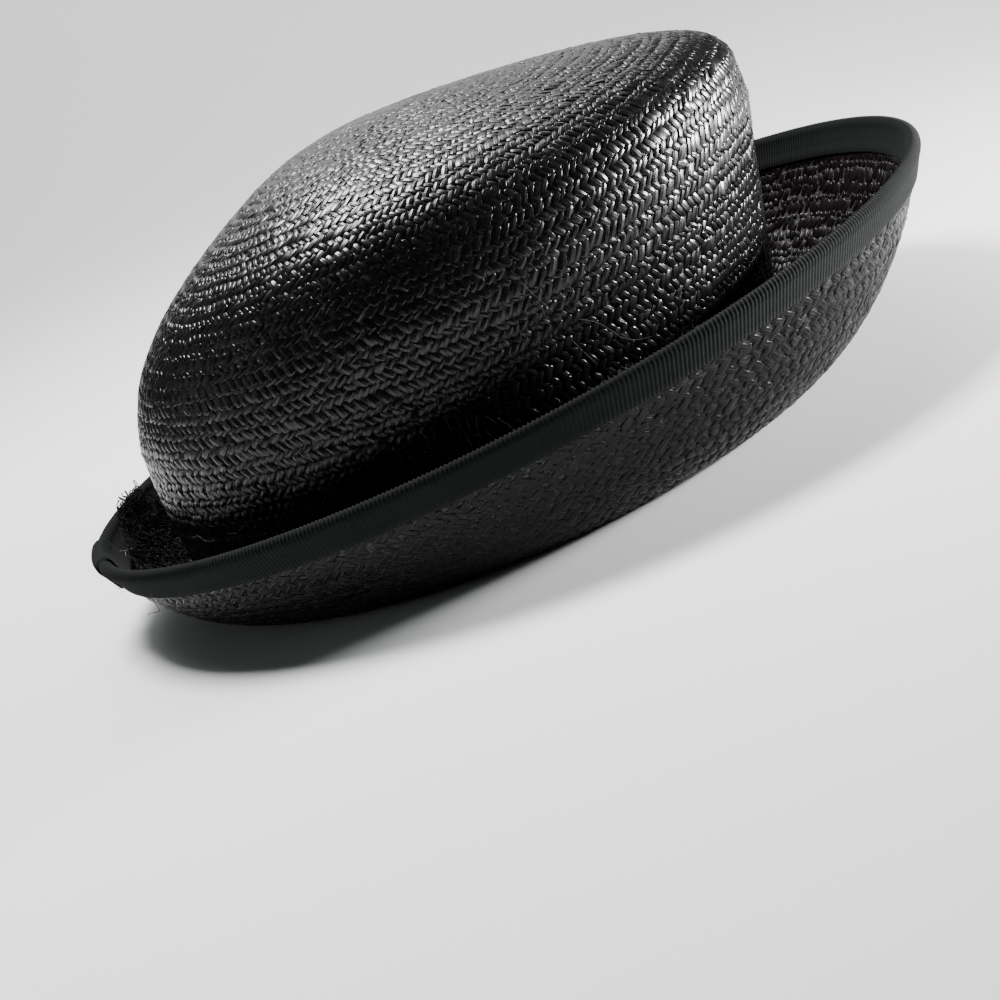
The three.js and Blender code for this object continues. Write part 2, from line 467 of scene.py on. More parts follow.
class PieceTree:
    """Geometry Nodes that turn points or a wire into one plain mesh with a finish."""

    def __init__(self, name: str, sizes: Sequence[tuple[str, str, object]]) -> None:
        """Make the tree with its sockets.

        Args:
            name: Name of the tree.
            sizes: Name, socket type and value of each input between geometry and finish.
        """
        self.tree = bpy.data.node_groups.new(name, "GeometryNodeTree")
        self.tree.is_modifier = True
        face = self.tree.interface
        face.new_socket(name="Geometry", in_out="OUTPUT", socket_type="NodeSocketGeometry")
        self.ids: dict[str, str] = {}
        for key, kind, value in (("Geometry", "NodeSocketGeometry", None), *sizes,
                                 ("Finish", "NodeSocketMaterial", None)):
            socket = face.new_socket(name=key, in_out="INPUT", socket_type=kind)
            if value is not None:
                socket.default_value = value
            self.ids[key] = socket.identifier

    def attribute(self, name: str, kind: str) -> bpy.types.NodeSocket:
        """Socket that reads an attribute of the points."""
        read = node(self.tree, "GeometryNodeInputNamedAttribute", {"Name": name}, data_type=kind)
        return read.outputs["Attribute"]

    def close(self, made: bpy.types.NodeSocket, finish: bpy.types.NodeSocket) -> None:
        """Make the geometry real, shade it and put it out.

        Args:
            made: Socket that gives the geometry.
            finish: Socket that gives the finish.
        """
        real = node(self.tree, "GeometryNodeRealizeInstances")
        link(self.tree, made, real.inputs["Geometry"])
        dress = node(self.tree, "GeometryNodeSetMaterial")
        link(self.tree, real.outputs[0], dress.inputs["Geometry"])
        link(self.tree, finish, dress.inputs["Material"])
        link(self.tree, dress.outputs[0], node(self.tree, "NodeGroupOutput").inputs["Geometry"])

    def grow(self, piece: bpy.types.Object, values: dict[str, object]) -> bpy.types.Object:
        """Run the tree on a piece and keep the result as its plain mesh.

        Args:
            piece: Object that holds the points or the wire.
            values: Value of each input that is set.

        Returns:
            The same object with its new mesh.
        """
        modifier = piece.modifiers.new(self.tree.name, "NODES")
        modifier.node_group = self.tree
        for name, value in values.items():
            modifier[self.ids[name]] = value
        piece.update_tag()
        bpy.context.view_layer.update()
        graph = bpy.context.evaluated_depsgraph_get()
        grown = bpy.data.meshes.new_from_object(piece.evaluated_get(graph), preserve_all_data_layers=True,
                                                depsgraph=graph)
        piece.modifiers.clear()
        piece.data = grown
        grown.name = piece.name
        return piece


class FloatTree(PieceTree):
    """Geometry Nodes that lay one straw float on each point of a lattice."""

    def __init__(self) -> None:
        """Build the tree once, for every woven layer."""
        super().__init__("lay_straw_floats", (
            ("Float", "NodeSocketObject", None), ("Width Spread", "NodeSocketFloat", 0.22),
            ("Turn Spread", "NodeSocketFloat", 0.1), ("Seed", "NodeSocketInt", 1)))
        tree = self.tree
        inputs = node(tree, "NodeGroupInput").outputs
        shape = node(tree, "GeometryNodeObjectInfo", transform_space="ORIGINAL")
        link(tree, inputs["Float"], shape.inputs["Object"])
        turn = node(tree, "FunctionNodeEulerToRotation")
        link(tree, self.attribute("float_turn", "FLOAT_VECTOR"), turn.inputs[0])
        wide = node(tree, "FunctionNodeRandomValue", {2: -1.0, 3: 1.0}, data_type="FLOAT")
        link(tree, inputs["Seed"], wide.inputs["Seed"])
        width = math_node(tree, "MULTIPLY_ADD", wide.outputs[1], inputs["Width Spread"], 1.0)
        spread = node(tree, "ShaderNodeCombineXYZ", {0: 1.0, 2: 1.0})
        link(tree, width, spread.inputs[1])
        scale = node(tree, "ShaderNodeVectorMath", operation="MULTIPLY")
        link(tree, self.attribute("float_size", "FLOAT_VECTOR"), scale.inputs[0])
        link(tree, spread.outputs[0], scale.inputs[1])
        placed = node(tree, "GeometryNodeInstanceOnPoints")
        link(tree, inputs["Geometry"], placed.inputs["Points"])
        link(tree, shape.outputs["Geometry"], placed.inputs["Instance"])
        link(tree, turn.outputs[0], placed.inputs["Rotation"])
        link(tree, scale.outputs[0], placed.inputs["Scale"])
        turned = self._sway(placed.outputs["Instances"], inputs)
        self.close(self._shade(turned, inputs), inputs["Finish"])

    def _sway(self, laid: bpy.types.NodeSocket, inputs: object) -> bpy.types.NodeSocket:
        """Turn each float a little, mostly about the surface's normal.

        Args:
            laid: Socket that gives the laid floats.
            inputs: The tree's inputs.

        Returns:
            Socket that gives the turned floats.
        """
        tree = self.tree
        sway = node(tree, "FunctionNodeRandomValue", {0: (-0.3, -0.3, -1.0), 1: (0.3, 0.3, 1.0)},
                    data_type="FLOAT_VECTOR")
        link(tree, math_node(tree, "ADD", inputs["Seed"], 7.0), sway.inputs["Seed"])
        amount = node(tree, "ShaderNodeVectorMath", operation="SCALE")
        link(tree, sway.outputs[0], amount.inputs[0])
        link(tree, inputs["Turn Spread"], amount.inputs["Scale"])
        turned = node(tree, "GeometryNodeRotateInstances")
        link(tree, laid, turned.inputs["Instances"])
        link(tree, amount.outputs[0], turned.inputs["Rotation"])
        return turned.outputs[0]

    def _shade(self, laid: bpy.types.NodeSocket, inputs: object) -> bpy.types.NodeSocket:
        """Store how pale each float is: 0.6 of its strand's share and up to 0.4 of its own.

        Args:
            laid: Socket that gives the laid floats.
            inputs: The tree's inputs.

        Returns:
            Socket that gives the floats with their shade.
        """
        tree = self.tree
        own = node(tree, "FunctionNodeRandomValue", {3: 0.4}, data_type="FLOAT")
        link(tree, inputs["Seed"], own.inputs["Seed"])
        shade = math_node(tree, "MULTIPLY_ADD", self.attribute("strand_shade", "FLOAT"), 0.6, own.outputs[1])
        stored = node(tree, "GeometryNodeStoreNamedAttribute", {"Name": "straw_shade"},
                      data_type="FLOAT", domain="INSTANCE")
        link(tree, laid, stored.inputs["Geometry"])
        link(tree, shade, stored.inputs["Value"])
        return stored.outputs[0]


class StrandTree(PieceTree):
    """Geometry Nodes that turn a wire of edges into round strands."""

    def __init__(self) -> None:
        """Build the tree once, for net and loose threads."""
        super().__init__("round_strands", (
            ("Radius", "NodeSocketFloat", 0.00012), ("Sides", "NodeSocketInt", 4)))
        tree = self.tree
        inputs = node(tree, "NodeGroupInput").outputs
        wire = node(tree, "GeometryNodeMeshToCurve")
        link(tree, inputs["Geometry"], wire.inputs[0])
        ring = node(tree, "GeometryNodeCurvePrimitiveCircle")
        link(tree, inputs["Sides"], ring.inputs["Resolution"])
        link(tree, inputs["Radius"], ring.inputs["Radius"])
        tube = node(tree, "GeometryNodeCurveToMesh", {"Fill Caps": True})
        link(tree, wire.outputs[0], tube.inputs["Curve"])
        link(tree, ring.outputs[0], tube.inputs["Profile Curve"])
        self.close(tube.outputs[0], inputs["Finish"])


# Finishes


def new_material(name: str) -> tuple[bpy.types.Material, bpy.types.NodeTree, bpy.types.Node]:
    """Material with its tree and its shader."""
    material = bpy.data.materials.new(name)
    material.use_nodes = True
    return material, material.node_tree, material.node_tree.nodes["Principled BSDF"]


def add_relief(tree: bpy.types.NodeTree, height: bpy.types.NodeSocket, strength: float,
               distance: float) -> None:
    """Let a height turn the shader's normals.

    Args:
        tree: The material's tree.
        height: Socket that gives the height.
        strength: Strength of the relief.
        distance: Its depth in metres.
    """
    bump = node(tree, "ShaderNodeBump", {"Strength": strength, "Distance": distance})
    link(tree, height, bump.inputs["Height"])
    link(tree, bump.outputs["Normal"], tree.nodes["Principled BSDF"].inputs["Normal"])


def blend(tree: bpy.types.NodeTree, share: bpy.types.NodeSocket,
          *ends: bpy.types.NodeSocket | Color) -> bpy.types.NodeSocket:
    """Colour between two others.

    Args:
        tree: Tree that gets the node.
        share: Socket that gives the second colour's share.
        ends: The two colours, as sockets or as plain colours.

    Returns:
        The socket with the colour.
    """
    mix = node(tree, "ShaderNodeMix", data_type="RGBA")
    link(tree, share, mix.inputs[0])
    for socket, end in zip(mix.inputs[6:8], ends):
        if isinstance(end, bpy.types.NodeSocket):
            link(tree, end, socket)
        else:
            socket.default_value = (*end, 1.0)
    return mix.outputs[2]


class StrawGrain:
    """Shared shader group: fibre grain, grooves, dust and tone of lacquered straw."""

    dust_color: Color = (0.12, 0.12, 0.115)
    dust_scale: float = 28.0
    grooves: float = 2.6

    def __init__(self) -> None:
        """Build the group once, for every straw finish."""
        self.tree = bpy.data.node_groups.new("straw_grain", "ShaderNodeTree")
        face = self.tree.interface
        for name, value in (("Grain Scale", 900.0), ("Grain Depth", 0.2), ("Groove Depth", 0.1),
                            ("Dust", 0.02), ("Dark", None), ("Light", None), ("Smoothest", None),
                            ("Roughest", None)):
            kind = "NodeSocketColor" if name in ("Dark", "Light") else "NodeSocketFloat"
            socket = face.new_socket(name=name, in_out="INPUT", socket_type=kind)
            if value is not None:
                socket.default_value = value
        for name, kind in (("Color", "Color"), ("Roughness", "Float"), ("Height", "Float")):
            face.new_socket(name=name, in_out="OUTPUT", socket_type=f"NodeSocket{kind}")
        tree = self.tree
        inputs = node(tree, "NodeGroupInput").outputs
        outputs = node(tree, "NodeGroupOutput").inputs
        place = node(tree, "ShaderNodeTexCoord").outputs["Object"]
        fine = node(tree, "ShaderNodeTexNoise", {"Detail": 4.0})
        link(tree, place, fine.inputs["Vector"])
        link(tree, inputs["Grain Scale"], fine.inputs["Scale"])
        link(tree, self._tone(place, inputs), outputs["Color"])
        gloss = node(tree, "ShaderNodeMapRange", {"From Min": 0.3, "From Max": 0.7})
        link(tree, fine.outputs["Fac"], gloss.inputs["Value"])
        link(tree, inputs["Smoothest"], gloss.inputs["To Min"])
        link(tree, inputs["Roughest"], gloss.inputs["To Max"])
        link(tree, gloss.outputs[0], outputs["Roughness"])
        deep = math_node(tree, "MULTIPLY", fine.outputs["Fac"], inputs["Grain Depth"])
        across = node(tree, "ShaderNodeAttribute", attribute_name="straw_across").outputs["Fac"]
        turn = math_node(tree, "MULTIPLY", across, 2 * math.pi * self.grooves)
        groove = math_node(tree, "COSINE", turn)
        height = math_node(tree, "MULTIPLY_ADD", groove, inputs["Groove Depth"], deep)
        link(tree, height, outputs["Height"])

    def _tone(self, place: bpy.types.NodeSocket, inputs: object) -> bpy.types.NodeSocket:
        """Colour of each float, with a little dust in patches.

        Args:
            place: Socket that gives the place on the hat.
            inputs: The group's inputs.

        Returns:
            Socket that gives the colour.
        """
        tree = self.tree
        broad = node(tree, "ShaderNodeTexNoise", {"Scale": self.dust_scale, "Detail": 5.0})
        link(tree, place, broad.inputs["Vector"])
        spots = node(tree, "ShaderNodeMapRange", {"From Min": 0.55, "From Max": 0.8})
        link(tree, broad.outputs["Fac"], spots.inputs["Value"])
        shade = node(tree, "ShaderNodeAttribute", attribute_name="straw_shade").outputs["Fac"]
        tone = blend(tree, shade, inputs["Dark"], inputs["Light"])
        amount = math_node(tree, "MULTIPLY", spots.outputs[0], inputs["Dust"])
        return blend(tree, amount, tone, self.dust_color)


@dataclass(frozen=True)
class StrawFinish:
    """Lacquered straw: colours, gloss and grain."""

    name: str
    dark: Color
    light: Color
    smoothest: float
    roughest: float
    specular: float
    groove_depth: float = 0.12
    grain_depth: float = 0.2
    dust: float = 0.02

    def build(self, grain: StrawGrain) -> bpy.types.Material:
        """Material of this finish.

        Args:
            grain: The shared grain group.

        Returns:
            The material.
        """
        material, tree, shader = new_material(self.name)
        group = node(tree, "ShaderNodeGroup", node_tree=grain.tree)
        preset(group, {"Grain Depth": self.grain_depth, "Groove Depth": self.groove_depth, "Dust": self.dust,
                       "Dark": (*self.dark, 1.0), "Light": (*self.light, 1.0),
                       "Smoothest": self.smoothest, "Roughest": self.roughest})
        link(tree, group.outputs["Color"], shader.inputs["Base Color"])
        link(tree, group.outputs["Roughness"], shader.inputs["Roughness"])
        add_relief(tree, group.outputs["Height"], 0.4, 0.0003)
        preset(shader, {"Specular IOR Level": self.specular})
        return material


@dataclass(frozen=True)
class WovenWallFinish:
    """Inner face of the wall, where the weave shows as a relief."""

    name: str
    color: Color
    gaps: Color = (0.004, 0.004, 0.004)
    columns: float = 200.0
    rows: float = 46.0
    roughness: float = 0.5

    def build(self) -> bpy.types.Material:
        """Material whose relief follows the piece's own map."""
        material, tree, shader = new_material(self.name)
        place = node(tree, "ShaderNodeUVMap", uv_map="weave")
        turn = node(tree, "ShaderNodeMapping", {"Scale": (self.columns, self.rows, 1.0)})
        link(tree, place.outputs[0], turn.inputs["Vector"])
        check = node(tree, "ShaderNodeTexBrick", {
            "Scale": 1.0, "Mortar Size": 0.12, "Mortar Smooth": 1.0, "Brick Width": 1.0, "Row Height": 1.0,
            "Color1": (0.8, 0.8, 0.8, 1.0), "Color2": (1.0, 1.0, 1.0, 1.0), "Mortar": (0.0, 0.0, 0.0, 1.0),
        }, offset=0.5, squash=1.0)
        link(tree, turn.outputs[0], check.inputs["Vector"])
        link(tree, blend(tree, check.outputs["Color"], self.gaps, self.color), shader.inputs["Base Color"])
        add_relief(tree, check.outputs["Color"], 0.8, 0.0006)
        preset(shader, {"Roughness": self.roughness})
        return material


@dataclass(frozen=True)
class ClothFinish:
    """Dull thread or ribbon, with lint and a soft sheen."""

    name: str
    color: Color
    worn: Color
    roughness: float
    sheen: float = 0.0
    patch_scale: float = 60.0
    fuzz_scale: float = 1400.0
    specular: float = 0.1

    def build(self) -> bpy.types.Material:
        """Material whose tone wanders between the fresh and the worn colour."""
        material, tree, shader = new_material(self.name)
        place = node(tree, "ShaderNodeTexCoord").outputs["Object"]
        patch = node(tree, "ShaderNodeTexNoise", {"Scale": self.patch_scale, "Detail": 6.0})
        fuzz = node(tree, "ShaderNodeTexNoise", {"Scale": self.fuzz_scale, "Detail": 3.0})
        link(tree, place, patch.inputs["Vector"])
        link(tree, place, fuzz.inputs["Vector"])
        link(tree, blend(tree, patch.outputs["Fac"], self.color, self.worn), shader.inputs["Base Color"])
        add_relief(tree, fuzz.outputs["Fac"], 0.4, 0.0002)
        preset(shader, {"Roughness": self.roughness, "Specular IOR Level": self.specular,
                        "Sheen Weight": self.sheen, "Sheen Roughness": 0.5})
        return material


@dataclass(frozen=True)
class PlainFinish:
    """Studio surface: pale and even."""

    name: str
    color: Color
    roughness: float = 0.8

    def build(self) -> bpy.types.Material:
        """Material with one colour."""
        material, _, shader = new_material(self.name)
        preset(shader, {"Base Color": (*self.color, 1.0), "Roughness": self.roughness})
        return material


# Weave


@dataclass
class FloatShape:
    """One visible float of straw: a long grain, flat below, of unit length, width and height."""

    # Place along the float, share of the width and share of the height
    stations: tuple[tuple[float, float, float], ...] = (
        (-0.37, 0.86, 0.76), (0.0, 1.0, 1.0), (0.37, 0.86, 0.76))
    section: tuple[tuple[float, float], ...] = (
        (-0.50, -0.10), (-0.38, 0.66), (0.0, 1.0), (0.38, 0.66), (0.50, -0.10))

    def build(self) -> bpy.types.Object:
        """Object that the tree lays on each point."""
        points = [(x, y * wide, z * high) for x, wide, high in self.stations for y, z in self.section]
        width = len(self.section)
        faces: list[tuple[int, ...]] = list(lattice_faces(len(self.stations), width, False))
        start, last = len(points), len(points) - width
        points += [(-0.5, 0.0, 0.0), (0.5, 0.0, 0.0)]
        for j in range(width):
            t = (j + 1) % width
            faces.append((start, t, j))
            faces.append((start + 1, last + j, last + t))
        array = np.array(points)
        piece = new_object("straw_float", array / MM, outward(array, faces))
        across = piece.data.attributes.new("straw_across", "FLOAT", "POINT")
        across.data.foreach_set("value", array[:, 1].tolist())
        return piece


@dataclass
class FloatField:
    """Centres, turns and sizes of the floats of one woven layer."""

    centres: list[np.ndarray] = field(default_factory=list)
    turns: list[tuple[float, float, float]] = field(default_factory=list)
    sizes: list[tuple[float, float, float]] = field(default_factory=list)
    shades: list[float] = field(default_factory=list)

    def add(self, centre: np.ndarray, run: np.ndarray, normal: np.ndarray, size: Sequence[float],
            shade: float) -> None:
        """Add one float.

        Args:
            centre: Its middle, in millimetres.
            run: Direction of the strand.
            normal: Direction out of the surface.
            size: Length, width and height in millimetres.
            shade: How pale its strand is, from 0 to 1.
        """
        x = Vector(run).normalized()
        z = Vector(normal).normalized()
        y = z.cross(x).normalized()
        x = y.cross(z)
        turn = Matrix((x, y, z)).transposed().to_euler()
        self.centres.append(centre)
        self.turns.append(tuple(turn))
        self.sizes.append(tuple(size))
        self.shades.append(shade)

    def build(self, name: str, tree: FloatTree, shape: bpy.types.Object, finish: bpy.types.Material,
              seed: int, width_spread: float = 0.14, turn_spread: float = 0.13) -> bpy.types.Object:
        """Lay the floats and keep them as one mesh.

        Args:
            name: Name of the piece.
            tree: The tree that lays floats.
            shape: The float's own object.
            finish: Its material.
            seed: Seed of its small differences.
            width_spread: How much the widths differ, as a share.
            turn_spread: How much the floats turn, in radians.

        Returns:
            The woven piece.
        """
        piece = new_object(name, np.array(self.centres), [])
        turn = piece.data.attributes.new("float_turn", "FLOAT_VECTOR", "POINT")
        turn.data.foreach_set("vector", np.array(self.turns).ravel())
        size = piece.data.attributes.new("float_size", "FLOAT_VECTOR", "POINT")
        size.data.foreach_set("vector", (np.array(self.sizes) * MM).ravel())
        shade = piece.data.attributes.new("strand_shade", "FLOAT", "POINT")
        shade.data.foreach_set("value", self.shades)
        values = {"Float": shape, "Width Spread": width_spread, "Turn Spread": turn_spread,
                  "Seed": seed, "Finish": finish}
        piece = tree.grow(piece, values)
        self._flatten(piece, shape)
        return piece

    @staticmethod
    def _flatten(piece: bpy.types.Object, shape: bpy.types.Object, share: float = 1.1) -> None:
        """Lean the floats' normals towards their tops, as pressed straw has nearly flat faces.

        Args:
            piece: The woven piece.
            shape: The float's own object.
            share: Weight of the top's direction beside the rounded one.
        """
        mesh = piece.data
        count, width = len(shape.data.vertices), len(FloatShape.section)
        places = np.empty(len(mesh.vertices) * 3)
        rounded = np.empty(len(mesh.vertices) * 3)
        mesh.vertices.foreach_get("co", places)
        mesh.vertices.foreach_get("normal", rounded)
        places = places.reshape(-1, count, 3)
        along = places[:, 2 * width + width // 2] - places[:, width // 2]
        across = places[:, 2 * width - 1] - places[:, width]
        top = unit(np.cross(along, across))
        normals = unit(rounded.reshape(-1, count, 3) + share * top[:, None, :])
        mesh.normals_split_custom_set_from_vertices(normals.reshape(-1, 3).tolist())


@dataclass
class Weave:
    """Twill of two strand families, one float over two strands at each crossing.

    The strands cross at a slant to the hoops of the hat, so the floats lie in rows round it, and
    one row leans forward and the next one back.
    """

    narrowest: float = 2.4
    float_height: float = 0.52
    sink: float = 0.36
    lean: float = 0.86
    tuck: float = 1.22
    fill: float = 1.12
    anchor: float = 1.5 * math.pi
    samples: int = 360
    wander: float = 0.13
    shake: float = 0.07
    tilt: float = 0.07
    slip: float = 0.04
    drift: float = 0.16
    strand_spread: float = 0.13
    strand_range: tuple[float, float] = (0.72, 1.35)
    rows_seed: int = 29
    floats_seed: int = 17

    def row_shares(self, surface: Surface, span: tuple[float, float], rows: int) -> np.ndarray:
        """Shares of the surface at the rows' middles and bounds, evenly spaced along the section.

        Args:
            surface: The woven surface.
            span: Shares where the first row starts and the last one ends.
            rows: Number of rows.

        Returns:
            A table with a line for each sampled angle, and two columns a row and one more.
        """
        thetas = self.angles()
        fine = np.linspace(span[0], span[1], 240)
        path = surface(thetas[:, None], fine[None, :], np.zeros((len(thetas), len(fine))))
        run = np.linalg.norm(np.diff(path, axis=1), axis=2)
        reach = np.concatenate([np.zeros((len(thetas), 1)), np.cumsum(run, axis=1)], axis=1)
        reach = reach / reach[:, -1:]
        rng = np.random.default_rng(self.rows_seed)
        bounds = np.linspace(0, 1, rows + 1)[None, :].repeat(len(thetas), axis=0)
        for waves in range(2, 12):
            size = self.wander / math.sqrt(waves) / rows * rng.normal(0, 1, rows + 1)
            size[[0, -1]] = 0.0
            bounds += size * np.sin(waves * thetas[:, None] + rng.uniform(0, 6.3, rows + 1))
        lines = np.empty((len(thetas), 2 * rows + 1))
        lines[:, ::2] = np.clip(bounds, 0, 1)
        lines[:, 1::2] = (lines[:, :-1:2] + lines[:, 2::2]) / 2
        return np.array([np.interp(line, r, fine) for line, r in zip(lines, reach)])

    def angles(self) -> np.ndarray:
        """Sampled angles once round the hat, from the anchor."""
        return self.anchor + np.linspace(0, 2 * math.pi, self.samples + 1)

    def rows_on(self, surface: Surface, span: tuple[float, float], rows: int, part: range, columns: int,
                crowding: float, outer: float) -> FloatField:
        """Floats in rows round a surface, the two families in turn.

        Args:
            surface: The woven surface.
            span: Shares where the first of all rows starts and the last one ends.
            rows: Number of all rows.
            part: The rows that are laid here.
            columns: Floats in a row, where there is room for them.
            crowding: How much closer the floats lie at the front, as a share.
            outer: 1 where the surface's normal points away from the straw, -1 where it points in.

        Returns:
            The layer's floats.
        """
        floats = FloatField()
        rng = np.random.default_rng(self.floats_seed)
        widths = np.clip(rng.normal(1.0, self.strand_spread, (2, columns)), *self.strand_range)
        shades = rng.random((2, columns))
        thetas = self.angles()
        shares = self.row_shares(surface, span, rows)
        for k in part:
            rising = k % 2 == 0
            hoop = surface(thetas, shares[:, 2 * k + 1], np.zeros(len(thetas)))
            run = np.linalg.norm(np.diff(hoop, axis=0), axis=1)
            weight = run * (1 + crowding * np.cos((thetas[1:] + thetas[:-1]) / 2))
            round_ = np.concatenate([[0.0], np.cumsum(weight)]) / weight.sum()
            count = min(columns, round(run.sum() / self.narrowest))
            places = (np.arange(count) + (0.0 if rising else 0.5)) / count
            for waves in (3, 7, 13, 29):
                phase = rng.uniform(0, 6.3)
                places = places + self.drift / count * np.sin(waves * 2 * math.pi * places + phase)
            places = places + rng.normal(0, self.shake, count) / count
            half = (self.lean if rising else -self.lean) / 2 / count
            at = [np.interp((places + shift) % 1.0, round_, thetas)
                  for shift in (-half, 0.0, half, 1 / count)]
            line = [np.interp(at[j], thetas, shares[:, 2 * k + j]) for j in range(3)]
            flush = np.zeros(count)
            middle = surface(at[1], line[1], flush)
            beside = surface(at[3], line[1], flush)
            normal = surface(at[1], line[1], np.full(count, outer)) - middle
            way = surface(at[2], line[2], flush) - surface(at[0], line[0], flush)
            length = np.linalg.norm(way, axis=1)
            room = np.linalg.norm(np.cross(beside - middle, way), axis=1) / length
            slips = np.clip(rng.normal(0, self.slip, count), -0.4, 0.4)
            if k in (0, rows - 1):
                slips = slips * 0.0
            for c in range(count):
                strand = (c - k) % columns if rising else (c + k) % columns
                family = 0 if rising else 1
                wide = widths[family, strand]
                size = (length[c] * self.tuck, room[c] * self.fill * wide,
                        self.float_height * (0.7 + 0.3 * wide))
                tilted = normal[c] + rng.normal(0, self.tilt, 3)
                centre = middle[c] - normal[c] * self.sink + way[c] * slips[c]
                floats.add(centre, way[c], tilted, size, shades[family, strand])
        return floats


@dataclass
class Crown:
    """The crown: a dark wall, and the woven floats that cover it."""

    form: HatForm
    weave: Weave
    columns: int = 210
    rows: int = 66
    crowding: float = 0.11
    top: float = 0.945
    tip_pitch: float = 2.1
    segments: int = 192
    bands: int = 72
    wall_depth: float = 0.45
    wall_top: float = 0.985
    weave_foot: float = 0.004
    seed: int = 11
    tip_reach: int = 16
    tip_seed: int = 4

    def wall(self, finish: bpy.types.Material) -> bpy.types.Object:
        """Hollow shell under the floats.

        Args:
            finish: Material of the shell.

        Returns:
            The shell.
        """
        thetas = np.linspace(0, 2 * math.pi, self.segments, endpoint=False)
        climbs = np.linspace(0, self.wall_top, self.bands)
        skins = []
        for off in (-self.wall_depth, -self.form.straw):
            grid = self.form.crown_point(thetas[None, :], climbs[:, None],
                                         np.full((self.bands, self.segments), off))
            grid[0, :, 2] = self.form.foot
            skins.append(grid)
        rows = np.concatenate([skins[0][::-1], skins[1]])
        points = rows.reshape(-1, 3)
        top = self.form.crown_skin(np.zeros(1), np.ones(1))[0]
        poles = np.array([top - [0, 0, self.wall_depth], top - [0, 0, self.form.straw]])
        faces: list[tuple[int, ...]] = list(lattice_faces(len(rows), self.segments, False))
        count = len(points)
        last = count - self.segments
        for j in range(self.segments):
            t = (j + 1) % self.segments
            faces.append((count, t, j))
            faces.append((count + 1, last + j, last + t))
        points = np.concatenate([points, poles])
        piece = new_object("crown_wall", points, outward(points, faces))
        grid_layer(piece, "weave", self.segments, 1 / self.segments, 1 / self.bands)
        piece.data.materials.append(finish)
        return piece

    def band(self, name: str, part: range, tree: FloatTree, shape: bpy.types.Object,
             finish: bpy.types.Material) -> bpy.types.Object:
        """Woven floats of some of the rows.

        Args:
            name: Name of the piece.
            part: Numbers of the rows.
            tree: The tree that lays floats.
            shape: The float's own object.
            finish: Their material.

        Returns:
            The woven piece.
        """
        floats = self.weave.rows_on(self.form.crown_point, (self.weave_foot, self.top), self.rows, part,
                                    self.columns, self.crowding, 1.0)
        return floats.build(name, tree, shape, finish, self.seed + part.start)

    def tip(self, tree: FloatTree, shape: bpy.types.Object, finish: bpy.types.Material) -> bpy.types.Object:
        """Woven floats at the top, in the square lattice that the weaving starts from.

        Args:
            tree: The tree that lays floats.
            shape: The float's own object.
            finish: Their material.

        Returns:
            The woven piece.
        """
        p = self.tip_pitch
        floats = FloatField()
        rng = np.random.default_rng(self.tip_seed)
        for j in range(-self.tip_reach, self.tip_reach):
            for i in range(-self.tip_reach, self.tip_reach):
                step = (i + j) % 4
                if step in (1, 3):
                    continue
                run = (1.0, 0.0) if step == 0 else (0.0, 1.0)
                x = (i + 0.5 * run[0]) * p
                y = (j + 0.5 * run[1]) * p
                here, ahead = self._drop(x, y), self._drop(x + run[0], y + run[1])
                if here is None or ahead is None:
                    continue
                centre, normal = here
                size = (2 * p * self.weave.tuck * 0.95, p * self.weave.fill, self.weave.float_height)
                floats.add(centre - normal * self.weave.sink, ahead[0] - centre, normal, size, rng.random())
        return floats.build("crown_weave_tip", tree, shape, finish, self.seed + 2)

    def _drop(self, x: float, y: float) -> tuple[np.ndarray, np.ndarray] | None:
        """Point of the top straight below a place in plan.

        Args:
            x: Distance in front of the crown's middle.
            y: Distance to its left.

        Returns:
            The point and the normal there, or None beyond the tip.
        """
        form = self.form
        levels = np.linspace(self.top - 0.006, 0.999, 160)
        values = hermite(*form.ring_table, levels)
        ends = np.maximum(values[:, 1 if x > 0 else 2] * form.head_length / 2, 1e-6)
        sides = np.maximum(values[:, 3] * form.head_width / 2, 1e-6)
        inside = (x / ends) ** 2 + (y / sides) ** 2
        if inside[0] > 1.0:
            return None
        climb = float(np.interp(1.0, inside, levels))
        side = float(np.interp(climb, levels, sides))
        end = float(np.interp(climb, levels, ends))
        theta = math.atan2(y / side, x / end)
        point, lifted = (form.crown_point(np.array([theta]), np.array([climb]), np.array([off]))[0]
                         for off in (0.0, 1.0))
        return point, unit(lifted - point)


